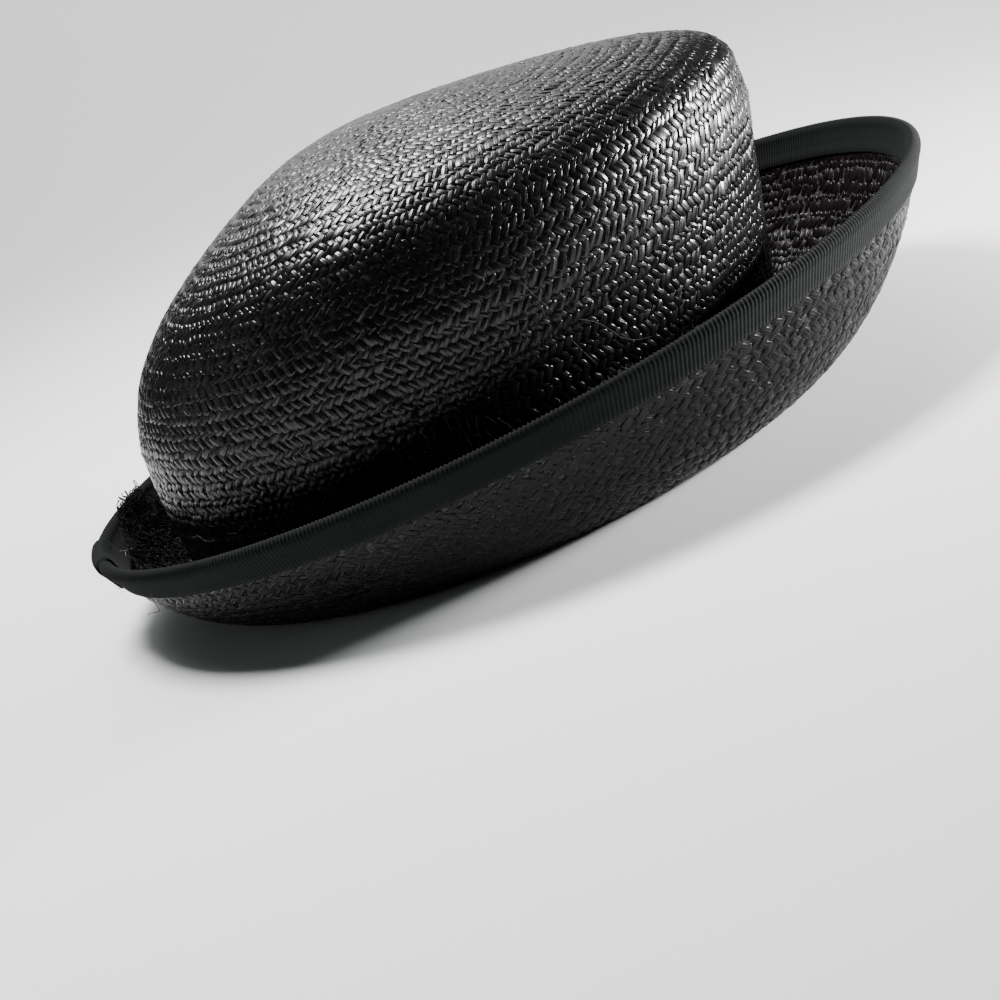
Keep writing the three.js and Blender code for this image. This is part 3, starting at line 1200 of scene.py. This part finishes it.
@dataclass
class Brim:
    """The brim: a dark wall, and the floats on its outer and inner face."""

    form: HatForm
    weave: Weave
    columns: int = 196
    rows: int = 21
    inner_columns: int = 300
    inner_rows: int = 19
    segments: int = 224
    bands: int = 26
    wall_start: float = 0.03
    wall_depth: float = 0.42
    outer_span: tuple[float, float] = (0.075, 0.90)
    inner_span: tuple[float, float] = (0.03, 0.90)

    def wall(self, finish: bpy.types.Material) -> bpy.types.Object:
        """Shell under the floats, with the flat ring that the crown stands on.

        Args:
            finish: Material of the shell.

        Returns:
            The shell.
        """
        form = self.form
        thetas = np.linspace(0, 2 * math.pi, self.segments, endpoint=False)
        shares = np.linspace(self.wall_start, 1, self.bands)
        half = form.straw / 2 - self.wall_depth
        c = np.cos(thetas)
        first = form.rings[0]
        reach = np.where(c > 0, first[1], first[2]) * form.head_length / 2 - form.straw
        inner = np.stack([form.head_shift + form.origin_shift + reach * c,
                          (first[3] * form.head_width / 2 - form.straw) * np.sin(thetas),
                          np.zeros_like(thetas)], axis=-1)
        land = form.brim_middle(thetas, np.zeros_like(thetas))
        land[:, 2] = 0.0
        rows = [inner, land]
        for off, way in ((-half, shares), (half, shares[::-1])):
            rows += [form.brim_point(thetas, np.full_like(thetas, s), np.full_like(thetas, off)) for s in way]
        rows += [land + [0, 0, form.straw], inner + [0, 0, form.straw]]
        points = np.concatenate(rows)
        faces = lattice_faces(len(rows), self.segments, True)
        piece = new_object("brim_wall", points, outward(points, faces))
        grid_layer(piece, "weave", self.segments, 1 / self.segments, 1 / self.bands)
        piece.data.materials.append(finish)
        return piece

    def layer(self, face: Face, tree: FloatTree, shape: bpy.types.Object,
              finish: bpy.types.Material) -> bpy.types.Object:
        """Woven floats of one face of the brim.

        Args:
            face: Outside or inside.
            tree: The tree that lays floats.
            shape: The float's own object.
            finish: Their material.

        Returns:
            The woven piece.
        """
        base = face.value * self.form.straw / 2

        def surface(theta: np.ndarray, share: np.ndarray, off: np.ndarray) -> np.ndarray:
            """Point off the brim's face."""
            return self.form.brim_point(theta, share, base + off)

        if face is Face.OUTSIDE:
            name, seed, weave = "brim_weave_outside", 21, self.weave
            span, rows, columns = self.outer_span, self.rows, self.columns
        else:
            name, seed = "brim_weave_inside", 22
            weave = replace(self.weave, lean=0.46, wander=0.2, narrowest=1.8, slip=0.14, tuck=1.16, fill=1.0)
            span, rows, columns = self.inner_span, self.inner_rows, self.inner_columns
        floats = weave.rows_on(surface, span, rows, range(rows), columns, 0.0, face.value)
        return floats.build(name, tree, shape, finish, seed)


@dataclass
class Binding:
    """Ribbed ribbon folded over the straw edge, and its lapped end."""

    form: HatForm
    rib: float = 1.2
    rib_depth: float = 0.11
    samples: int = 4
    lap_turns: tuple[float, float] = (182.0, 194.0)
    lap_ribs: int = 21

    def _face_rows(self, reach: float, lift: float) -> list[tuple[float, float]]:
        """Offset and reach of each row on one face, from the hem to the fold.

        Args:
            reach: How far the hem lies from the straw edge.
            lift: Distance off the ribbon below.

        Returns:
            Pairs of offset and reach.
        """
        form = self.form
        out = form.straw / 2 + form.gap + form.ribbon + lift
        return [(out - 0.25, reach), (out, reach - 0.25), (out, reach - 2.2), (out - 0.02, reach * 0.62),
                (out - 0.04, reach * 0.60), (out - 0.02, reach * 0.58), (out, reach * 0.38),
                (out + 0.08, reach * 0.22), (form.ridge * 1.06 + lift, 1.1), (form.ridge * 1.10 + lift, 0.2),
                (form.ridge * 0.90 + lift, -0.75 - lift), (form.ridge * 0.50 + lift, -1.5 - lift)]

    def ribbon(self, name: str, turns: np.ndarray, lift: float, closed: bool,
               finish: bpy.types.Material) -> bpy.types.Object:
        """Folded ribbon along some turns.

        Args:
            name: Name of the piece.
            turns: Angles round the hat.
            lift: Distance off the ribbon below.
            closed: Whether it goes all round.
            finish: Its material.

        Returns:
            The ribbon.
        """
        form = self.form
        face = self._face_rows(form.ribbon_face, lift)
        under = self._face_rows(form.ribbon_under, lift)
        skin = face + [(0.0, -form.ridge * 1.12 - lift)] + [(-o, a) for o, a in reversed(under)]
        low = form.straw / 2 + form.gap + lift
        lining = [(-low, form.ribbon_under), (-low, 0.6), (low, 0.6), (low, form.ribbon_face)]
        loop = skin + lining
        out = np.array([o for o, _ in loop])
        along = np.array([a for _, a in loop])
        wave = np.cos(np.arange(len(turns)) * 2 * math.pi / self.samples)
        weight = np.array([1.0] * len(skin) + [0.0] * len(lining))
        weight[0] = weight[len(skin) - 1] = 0.3
        weight[len(face) - 4:len(face) + 5] = 1.5
        ribs = wave[:, None] * weight[None, :] * self.rib_depth
        offs = out[None, :] + np.sign(out)[None, :] * ribs
        grid = form.edge_points(turns, along, offs)
        grid = grid + form.beyond_edge(turns)[:, None, :] * (ribs * (along < 0)[None, :])[:, :, None]
        points = grid.reshape(-1, 3)
        faces: list[tuple[int, ...]] = list(lattice_faces(len(turns), len(loop), closed))
        if not closed:
            faces += self._caps(len(turns), len(skin), len(loop))
        piece = new_object(name, points, outward(points, faces))
        piece.data.materials.append(finish)
        return piece

    @staticmethod
    def _caps(stations: int, skin: int, loop: int) -> list[tuple[int, ...]]:
        """End faces of an open ribbon, between its skin and its lining.

        Args:
            stations: Loops along the ribbon.
            skin: Points of the skin in a loop.
            loop: Points of a whole loop.

        Returns:
            The end faces.
        """
        inner = loop - skin
        faces = []
        for base, flip in ((0, False), ((stations - 1) * loop, True)):
            for k in range(skin - 1):
                a = round(k * (inner - 1) / (skin - 1))
                b = round((k + 1) * (inner - 1) / (skin - 1))
                corner = [base + k, base + k + 1, base + loop - 1 - b]
                if a != b:
                    corner.append(base + loop - 1 - a)
                faces.append(tuple(corner if flip else reversed(corner)))
        return faces

    def all_round(self, finish: bpy.types.Material) -> bpy.types.Object:
        """The binding itself."""
        length = math.pi * (self.form.rim_length + self.form.rim_width) / 2
        ribs = round(length / self.rib)
        turns = np.linspace(0, 2 * math.pi, ribs * self.samples, endpoint=False)
        return self.ribbon("binding_ribbon", turns, 0.0, True, finish)

    def lap(self, finish: bpy.types.Material) -> bpy.types.Object:
        """The loose end, lapped over the binding at the back."""
        turns = np.radians(np.linspace(*self.lap_turns, self.lap_ribs * self.samples + 1))
        return self.ribbon("binding_lapped_end", turns, self.form.gap + self.form.ribbon, False, finish)


@dataclass
class Net:
    """Thin net of knotted thread: six-sided holes, crumpled and torn."""

    form: HatForm
    cell: float = 2.9
    radius: float = 0.18
    rim_loops: int = 44
    loops: int = 230
    puff: float = 3.0
    row_pitch: float = 0.87
    stagger: float = 0.29
    scrap_size: tuple[float, float] = (150.0, 11.5)
    wisp_size: tuple[float, float] = (72.0, 13.0)
    wisp_foot: float = 0.06
    # Share of threads gone, height of the folds and seed of each layer of the scrap, and of the wisp
    scrap_layers: tuple[tuple[float, float, int], ...] = ((0.12, 1.0, 5), (0.5, 0.4, 6))
    wisp_layer: tuple[float, float, int] = (0.30, 0.7, 9)
    curls_seed: int = 8
    # Wave length and height of the folds
    folds: tuple[tuple[float, float], ...] = ((15.0, 1.0), (8.0, 0.6), (5.0, 0.45), (3.2, 0.25))
    # Turn, top share, foot share and puff of each station of the scrap in the channel at the back
    stations: tuple[tuple[float, float, float, float], ...] = (
        (158, 0.86, 0.62, 0.15), (164, 1.05, 0.50, 0.55), (169, 1.09, 0.42, 0.20),
        (174, 0.96, 0.36, 0.75), (180, 0.84, 0.30, 0.25), (186, 0.74, 0.26, 0.80),
        (193, 0.62, 0.24, 0.30), (201, 0.54, 0.22, 0.70), (209, 0.50, 0.20, 0.20),
        (218, 0.46, 0.20, 0.45), (227, 0.40, 0.22, 0.10))
    # Turn and top climb of the wisp that leans on the foot of the crown
    wisp: tuple[tuple[float, float], ...] = (
        (228, 0.15), (236, 0.17), (247, 0.200), (251, 0.216), (255, 0.219), (257, 0.228),
        (260, 0.226), (263, 0.225), (266, 0.231), (269, 0.222), (273, 0.18))

    def _scrap_point(self, along: float, across: float, lift: float) -> np.ndarray:
        """Point of the scrap in the channel.

        Args:
            along: Share of the way along the scrap.
            across: Share of the way from its foot to its top.
            lift: Distance off its resting place.

        Returns:
            The point.
        """
        form = self.form
        table = np.array(self.stations)
        t = along * (len(table) - 1)
        turn, top, foot, puff = (float(np.interp(t, range(len(table)), table[:, k])) for k in range(4))
        rest = form.ridge * 1.08 + form.gap + 0.3
        off = rest + puff * self.puff * (0.4 + 1.2 * across * (1 - across)) + lift
        share = foot + (top - foot) * across
        theta = np.array([math.radians(turn)])
        if share < 1:
            return form.brim_point(theta, np.array([share]), np.array([off]))[0]
        return form.edge_points(theta, np.array([(1 - share) * form.rim_back]), np.array([off]))[0, 0]

    def _wisp_point(self, along: float, across: float, lift: float) -> np.ndarray:
        """Point of the wisp at the foot of the crown.

        Args:
            along: Share of the way along the wisp.
            across: Share of the way from its foot to its top.
            lift: Distance off its resting place.

        Returns:
            The point.
        """
        table = np.array(self.wisp)
        t = along * (len(table) - 1)
        turn, top = (float(np.interp(t, range(len(table)), table[:, k])) for k in range(2))
        climb = self.wisp_foot + (top - self.wisp_foot) * across
        off = 1.1 + 2.2 * (1 - across) + lift
        theta = np.array([math.radians(turn)])
        return self.form.crown_point(theta, np.array([climb]), np.array([off]))[0]

    def _wire(self, place: Callable[[float, float, float], np.ndarray], size: tuple[float, float],
              torn: float, crumple: float, seed: int) -> Wire:
        """Crumpled six-sided net on a strip.

        Args:
            place: Gives a point from two shares of the strip and a lift.
            size: Length and width of the strip in millimetres.
            torn: Share of the threads that are gone.
            crumple: How far the folds stand off.
            seed: Seed of the folds and tears.

        Returns:
            The knots and the threads between them.
        """
        rng = np.random.default_rng(seed)
        waves = [(rng.uniform(0.8, 1.2) * 2 * math.pi / length, rng.uniform(-1, 1, 2),
                  rng.uniform(0, 6.3, 3), height)
                 for length, height in self.folds for _ in range(2)]
        across_count = max(2, round(size[1] / (self.cell * self.row_pitch)))
        along_count = round(size[0] / (self.cell / 2))
        points: list[np.ndarray] = []
        edges: list[tuple[int, int]] = []
        for a in range(along_count + 1):
            for b in range(across_count + 1):
                odd = (a + b) % 2
                x = a * self.cell / 2 + rng.normal(0, 0.2)
                shift = self.stagger * self.cell if odd else 0.0
                y = b * self.cell * self.row_pitch + shift + rng.normal(0, 0.2)
                fold = np.zeros(3)
                for wave, way, phase, height in waves:
                    fold += height * np.sin(wave * (way[0] * x + way[1] * y) + phase)
                u = min(max((x + crumple * fold[0] * 0.35) / size[0], 0.0), 1.0)
                v = min(max((y + crumple * fold[1] * 0.35) / size[1], 0.0), 1.04)
                points.append(place(u, v, crumple * abs(fold[2]) * 0.9))
                here = a * (across_count + 1) + b
                if a < along_count and rng.random() > torn:
                    edges.append((here, here + across_count + 1))
                if b < across_count and odd and rng.random() > torn:
                    edges.append((here, here + 1))
        return points, edges

    def _curls(self) -> Wire:
        """Loops and curled ends, all over the scrap and where it stands up over the rim."""
        rng = np.random.default_rng(self.curls_seed)
        points: list[np.ndarray] = []
        edges: list[tuple[int, int]] = []
        for k in range(self.rim_loops + self.loops):
            if k < self.rim_loops:
                theta = math.radians(rng.uniform(161.0, 170.0))
                foot = self.form.edge_points(np.array([theta]), np.array([rng.uniform(-3.2, 1.5)]),
                                             np.array([rng.uniform(1.4, 3.4)]))[0, 0]
            else:
                foot = self._scrap_point(rng.beta(1.0, 2.2), rng.uniform(0, 1), rng.uniform(0.3, 3.0))
            one, two = unit(rng.normal(0, 1, 3)), unit(rng.normal(0, 1, 3) + [0, 0, 0.8])
            size = rng.uniform(0.7, 1.4)
            sweep = rng.uniform(4.5, 6.6)
            first = len(points)
            for j in range(10):
                turn = sweep * j / 9
                points.append(foot + size * (one * math.sin(turn) + two * (1 - math.cos(turn))))
            edges += [(first + j, first + j + 1) for j in range(9)]
        return points, edges

    def build(self, name: str, wires: Sequence[Wire], tree: StrandTree,
              finish: bpy.types.Material) -> bpy.types.Object:
        """Strands of some wires.

        Args:
            name: Name of the piece.
            wires: Points and edges of each wire.
            tree: The tree that makes strands.
            finish: Their material.

        Returns:
            The piece.
        """
        points: list[np.ndarray] = []
        edges: list[tuple[int, int]] = []
        for more, links in wires:
            edges += [(a + len(points), b + len(points)) for a, b in links]
            points += more
        return strands(name, points, edges, tree, self.radius, finish)

    def scrap(self, tree: StrandTree, finish: bpy.types.Material) -> bpy.types.Object:
        """The scrap at the back."""
        layers = [self._wire(self._scrap_point, self.scrap_size, *layer) for layer in self.scrap_layers]
        return self.build("net_scrap_strands", [*layers, self._curls()], tree, finish)

    def wisps(self, tree: StrandTree, finish: bpy.types.Material) -> bpy.types.Object:
        """The wisp along the near side of the crown."""
        layer = self._wire(self._wisp_point, self.wisp_size, *self.wisp_layer)
        return self.build("net_wisp_strands", [layer], tree, finish)


def strands(name: str, points: Sequence[np.ndarray], edges: list[tuple[int, int]], tree: StrandTree,
            radius: float, finish: bpy.types.Material) -> bpy.types.Object:
    """Round strands along edges.

    Args:
        name: Name of the piece.
        points: Corners in millimetres.
        edges: Pairs of corner numbers.
        tree: The tree that makes strands.
        radius: Half the strands' thickness, in millimetres.
        finish: Their material.

    Returns:
        The piece.
    """
    mesh = bpy.data.meshes.new(name)
    mesh.from_pydata((np.array(points) * MM).tolist(), edges, [])
    piece = bpy.data.objects.new(name, mesh)
    bpy.context.scene.collection.objects.link(piece)
    return tree.grow(piece, {"Radius": radius * MM, "Sides": 5, "Finish": finish})


@dataclass
class LooseThreads:
    """Pale thread ends and lint that cling to the hat."""

    form: HatForm
    radius: float = 0.11
    lint_radius: float = 0.07
    smooth: int = 5
    behind: int = 14
    lint_seed: int = 3
    # Points of each thread, in millimetres
    paths: tuple[tuple[tuple[float, float, float], ...], ...] = (
        ((-99.9, -51.2, 39.5), (-101.1, -49.8, 36.5), (-100.8, -50.1, 34.2), (-98.7, -52.4, 33.9)),
        ((-132.0, 23.2, 17.2), (-130.7, 20.5, 14.5), (-129.1, 20.2, 13.0), (-128.3, 22.2, 13.4),
         (-125.6, 20.4, 14.6)),
        ((-129.1, 20.2, 12.6), (-129.7, 15.8, 12.2), (-130.7, 12.7, 12.9), (-129.1, 12.2, 11.6),
         (-126.7, 14.8, 10.6)),
        ((-109.2, -38.5, 29.3), (-106.2, -43.1, 30.5), (-104.6, -45.2, 28.9), (-101.1, -49.4, 28.9)),
        ((-86.4, -63.9, 41.0), (-87.1, -63.2, 38.7)),
        ((-86.0, -64.1, 39.1), (-84.5, -65.5, 39.4), (-82.7, -66.4, 38.4)),
        ((-92.7, -58.1, 30.8), (-90.0, -60.7, 32.8), (-87.2, -62.8, 33.5)),
        ((-95.6, -55.4, 31.2), (-92.7, -58.1, 30.8), (-92.5, -58.2, 28.9)),
        ((-81.5, -67.6, 45.6), (-79.7, -68.8, 47.1), (-77.5, -70.2, 47.5)),
        ((-139.1, 0.3, 22.9), (-138.2, -5.0, 21.8), (-137.1, -9.3, 20.5)),
        ((-139.9, -11.1, 25.8), (-140.0, -3.2, 24.7), (-139.1, 1.3, 23.0), (-137.4, 7.7, 20.8),
         (-135.6, 12.9, 19.1)),
        ((-113.6, -30.4, 38.8), (-114.2, -30.2, 38.0), (-113.5, -30.6, 37.3)),
        ((-103.7, -46.5, 44.5), (-104.7, -45.3, 41.4), (-105.0, -45.0, 38.8)),
        ((-122.6, -56.6, 24.6), (-123.4, -57.4, 22.9), (-123.2, -57.8, 21.5), (-122.8, -58.4, 18.9),
         (-123.5, -58.4, 18.6), (-125.5, -58.3, 19.1), (-126.5, -58.3, 19.1)),
        ((22.1, -84.4, 56.2), (26.6, -83.1, 52.7), (30.2, -81.6, 47.4), (31.4, -81.0, 45.5),
         (35.0, -79.3, 42.8), (39.5, -77.2, 41.3)),
        ((18.2, -85.3, 51.6), (20.0, -84.7, 47.0), (22.0, -83.8, 42.1)),
        ((11.6, -86.8, 72.4), (13.6, -86.5, 67.5), (16.4, -85.9, 61.5)),
        ((15.8, -86.1, 68.3), (14.2, -86.4, 66.4), (13.9, -86.4, 60.7)),
        ((-31.1, -86.8, 39.8), (-28.3, -87.1, 38.3), (-23.9, -87.5, 37.2)),
        ((-16.0, -88.1, 38.7), (-15.3, -88.0, 37.2)))
    # First turn, last turn, reach in from the edge, offset, count and length of each patch of lint
    lint: tuple[tuple[float, float, float, float, int, float], ...] = (
        (276.0, 281.5, -1.2, 0.9, 16, 1.6),
        (287.0, 290.0, -0.9, 1.4, 8, 1.3),
        (181.0, 187.5, 8.6, -2.6, 26, 2.4),
        (188.0, 196.0, 8.8, -2.4, 12, 1.5))

    def _smoothed(self, path: np.ndarray) -> np.ndarray:
        """The path with rounded bends.

        Args:
            path: Its points.

        Returns:
            More points along the same way.
        """
        if len(path) < 3:
            return path
        padded = np.concatenate([[2 * path[0] - path[1]], path, [2 * path[-1] - path[-2]]])
        points = []
        for k in range(1, len(padded) - 2):
            a, b, c, d = padded[k - 1:k + 3]
            for t in np.arange(self.smooth) / self.smooth:
                points.append(0.5 * (2 * b + (c - a) * t + (2 * a - 5 * b + 4 * c - d) * t**2
                                     + (3 * b - a - 3 * c + d) * t**3))
        return np.array([*points, path[-1]])

    def threads(self, name: str, part: slice, tree: StrandTree,
                finish: bpy.types.Material) -> bpy.types.Object:
        """Some of the longer threads.

        Args:
            name: Name of the piece.
            part: Which of the paths it follows.
            tree: The tree that makes strands.
            finish: Their material.

        Returns:
            The piece.
        """
        points: list[np.ndarray] = []
        edges: list[tuple[int, int]] = []
        for path in self.paths[part]:
            line = self._smoothed(np.array(path))
            edges += [(len(points) + k, len(points) + k + 1) for k in range(len(line) - 1)]
            points += list(line)
        return strands(name, points, edges, tree, self.radius, finish)

    def fuzz(self, tree: StrandTree, finish: bpy.types.Material) -> bpy.types.Object:
        """Short fibres on the ribbon."""
        rng = np.random.default_rng(self.lint_seed)
        points: list[np.ndarray] = []
        edges: list[tuple[int, int]] = []
        for first, last, reach, off, count, length in self.lint:
            for _ in range(count):
                theta = np.array([math.radians(rng.uniform(first, last))])
                start_reach = np.array([reach + rng.normal(0, 0.25)])
                foot = self.form.edge_points(theta, start_reach, np.array([off]))[0, 0]
                stand = np.array([off * (1 + 0.5 * length / max(abs(off), 0.5))])
                tip_turn = theta + rng.normal(0, 0.008)
                tip = self.form.edge_points(tip_turn, np.array([reach - 0.4]), stand)[0, 0]
                away = unit(unit(tip - foot) + rng.normal(0, 0.35, 3))
                bend = rng.normal(0, 0.35, 3)
                start = len(points)
                for k in range(4):
                    t = k / 3
                    points.append(foot + away * length * rng.uniform(0.8, 1.1) * t + bend * t * t)
                edges += [(start + k, start + k + 1) for k in range(3)]
        return strands("ribbon_lint", points, edges, tree, self.lint_radius, finish)


# Studio


@dataclass
class Studio:
    """Pale floor and backdrop, soft lights, and the camera."""

    azimuth: float = 0.0
    elevation: float = 13.43
    roll: float = 23.36
    distance: float = 560.0
    focal: float = 1738.7
    centre: tuple[float, float] = (493.1, 321.1)
    target: tuple[float, float, float] = (0.0, 0.0, 45.0)
    frame_px: float = 1000.0

    def camera(self, form: HatForm) -> bpy.types.Object:
        """Camera at the photographed angle.

        Args:
            form: The hat's sizes.

        Returns:
            The camera.
        """
        az, el, roll = (math.radians(v) for v in (self.azimuth, self.elevation, self.roll))
        back = Vector((math.sin(az) * math.cos(el), -math.cos(az) * math.cos(el), math.sin(el)))
        right = Vector((math.cos(az), math.sin(az), 0.0))
        up = back.cross(right)
        turned_right = math.cos(roll) * right - math.sin(roll) * up
        turned_up = math.sin(roll) * right + math.cos(roll) * up
        data = bpy.data.cameras.new("camera")
        data.sensor_width = 36.0
        data.lens = 36.0 * self.focal / self.frame_px
        data.shift_x = (self.frame_px / 2 - self.centre[0]) / self.frame_px
        data.shift_y = (self.centre[1] - self.frame_px / 2) / self.frame_px
        data.clip_start = 0.01
        camera = bpy.data.objects.new("camera", data)
        place = (Vector(self.target) + Vector((form.origin_shift, 0, 0)) + back * self.distance) * MM
        turn = Matrix((turned_right, turned_up, back)).transposed().to_4x4()
        camera.matrix_world = Matrix.Translation(place) @ turn
        bpy.context.scene.collection.objects.link(camera)
        bpy.context.scene.camera = camera
        return camera

    def light(self, name: str, place: Sequence[float], aim: Sequence[float], size: Sequence[float],
              power: float, spread: float = 180.0) -> None:
        """Soft rectangular light.

        Args:
            name: Its name.
            place: Where it stands, in metres.
            aim: What it points at.
            size: Its width and height.
            power: Its power in watts.
            spread: Full angle of its beam in degrees.
        """
        data = bpy.data.lights.new(name, "AREA")
        data.shape = "RECTANGLE"
        data.size, data.size_y = size
        data.energy = power
        data.spread = math.radians(spread)
        lamp = bpy.data.objects.new(name, data)
        lamp.location = place
        lamp.rotation_euler = (Vector(aim) - Vector(place)).to_track_quat("-Z", "Y").to_euler()
        bpy.context.scene.collection.objects.link(lamp)

    def room(self) -> None:
        """Floor, backdrop, lights and the even light of the room."""
        half, front, bend, height, steps = 0.9, 0.34, 1.2, 3.2, 16
        profile = [(-front, 0.0), (1.0, 0.0)]
        profile += [(1.0 + bend * math.sin(a), bend - bend * math.cos(a))
                    for a in np.linspace(0.05, math.pi / 2, steps)]
        profile.append((1.0 + bend, height))
        points = [(x * 1000, y * 1000, z * 1000) for y, z in profile for x in (-half, half)]
        faces = [(2 * k, 2 * k + 1, 2 * k + 3, 2 * k + 2) for k in range(len(profile) - 1)]
        floor = new_object("studio_floor", np.array(points), faces)
        floor.data.materials.append(PlainFinish("pale_floor", (0.78, 0.79, 0.79)).build())
        world = bpy.data.worlds.new("studio_light")
        world.use_nodes = True
        world.node_tree.nodes["Background"].inputs["Color"].default_value = (0.9, 0.95, 1.0, 1.0)
        world.node_tree.nodes["Background"].inputs["Strength"].default_value = 0.05
        bpy.context.scene.world = world
        self.light("ceiling", (-0.17, 0.2, 0.8), (0, 0, 0.08), (0.29, 0.26), 17.0)
        self.light("window_right", (0.62, -0.06, 0.13), (0.05, 0, 0.08), (0.22, 0.09), 4.0, 80.0)
        self.light("window_left", (-1.1, -0.1, 0.35), (0, 0, 0.08), (0.7, 0.5), 0.5)
        self.light("backdrop_wash", (0.0, 1.0, 2.1), (0, 2.3, 0.4), (2.4, 0.8), 70.0)


# Build


def settle(piece: bpy.types.Object, slot: str, *nodes: str) -> bpy.types.Object:
    """Let a piece go with the hat and stand for its nodes.

    Args:
        piece: The piece.
        slot: Material slot of the record; not used.
        nodes: Names of the solids that it stands for.

    Returns:
        The piece.
    """
    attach(piece, BODY)
    if nodes:
        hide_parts(*nodes)
    LOG.info("%s: %d faces", piece.name, len(piece.data.polygons))
    return piece


def main() -> None:
    """Build the hat and the studio round it."""
    logging.basicConfig(level=logging.INFO, format="%(name)s: %(message)s")
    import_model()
    form = HatForm()
    studio = Studio()
    studio.camera(form)
    studio.room()
    weave = Weave()
    grain = StrawGrain()
    crown_straw = StrawFinish("crown_straw", (0.0015, 0.0015, 0.0017), (0.0045, 0.0043, 0.0048),
                              smoothest=0.21, roughest=0.33, specular=0.36).build(grain)
    brim_straw = StrawFinish("brim_straw", (0.0012, 0.0012, 0.0013), (0.006, 0.0057, 0.006),
                             smoothest=0.3, roughest=0.44, specular=0.16, groove_depth=0.35).build(grain)
    inner_straw = StrawFinish("inner_brim_straw", (0.0014, 0.0006, 0.0011), (0.007, 0.0038, 0.0056),
                              smoothest=0.24, roughest=0.38, specular=0.12, groove_depth=0.3).build(grain)
    lining = WovenWallFinish("straw_wall", (0.003, 0.0027, 0.003)).build()
    ribbon = ClothFinish("ribbon", (0.002, 0.0024, 0.0025), (0.005, 0.006, 0.0063), roughness=0.88,
                         sheen=0.03, specular=0.14).build()
    net = ClothFinish("net", (0.0025, 0.0025, 0.0028), (0.007, 0.0072, 0.0075), roughness=0.75).build()
    thread = ClothFinish("grey_thread", (0.012, 0.011, 0.010), (0.06, 0.056, 0.05), roughness=0.8,
                         patch_scale=90.0).build()
    pale = ClothFinish("pale_thread", (0.05, 0.047, 0.042), (0.22, 0.21, 0.19), roughness=0.8,
                       patch_scale=90.0).build()
    floats, wires = FloatTree(), StrandTree()
    shape = FloatShape().build()
    crown, brim, binding = Crown(form, weave), Brim(form, weave), Binding(form)
    settle(crown.wall(lining), "crown_straw", "crown")
    for name, part in (("low", range(0, 22)), ("middle", range(22, 44)), ("high", range(44, crown.rows))):
        settle(crown.band(f"crown_weave_{name}", part, floats, shape, crown_straw), "crown_straw")
    settle(crown.tip(floats, shape, crown_straw), "crown_straw")
    settle(brim.wall(lining), "brim_straw", "brim")
    settle(brim.layer(Face.OUTSIDE, floats, shape, brim_straw), "brim_straw")
    settle(brim.layer(Face.INSIDE, floats, shape, inner_straw), "brim_straw")
    settle(binding.all_round(ribbon), "ribbon", "edge_binding")
    settle(binding.lap(ribbon), "ribbon", "binding_lap")
    netting, loose = Net(form), LooseThreads(form)
    settle(netting.scrap(wires, net), "net", "net_scrap")
    settle(netting.wisps(wires, net), "net")
    settle(loose.threads("threads_behind", slice(0, loose.behind), wires, pale), "net")
    settle(loose.threads("threads_in_front", slice(loose.behind, None), wires, thread), "net")
    settle(loose.fuzz(wires, thread), "ribbon")
    bpy.data.objects.remove(shape)


if __name__ == "__main__":
    main()
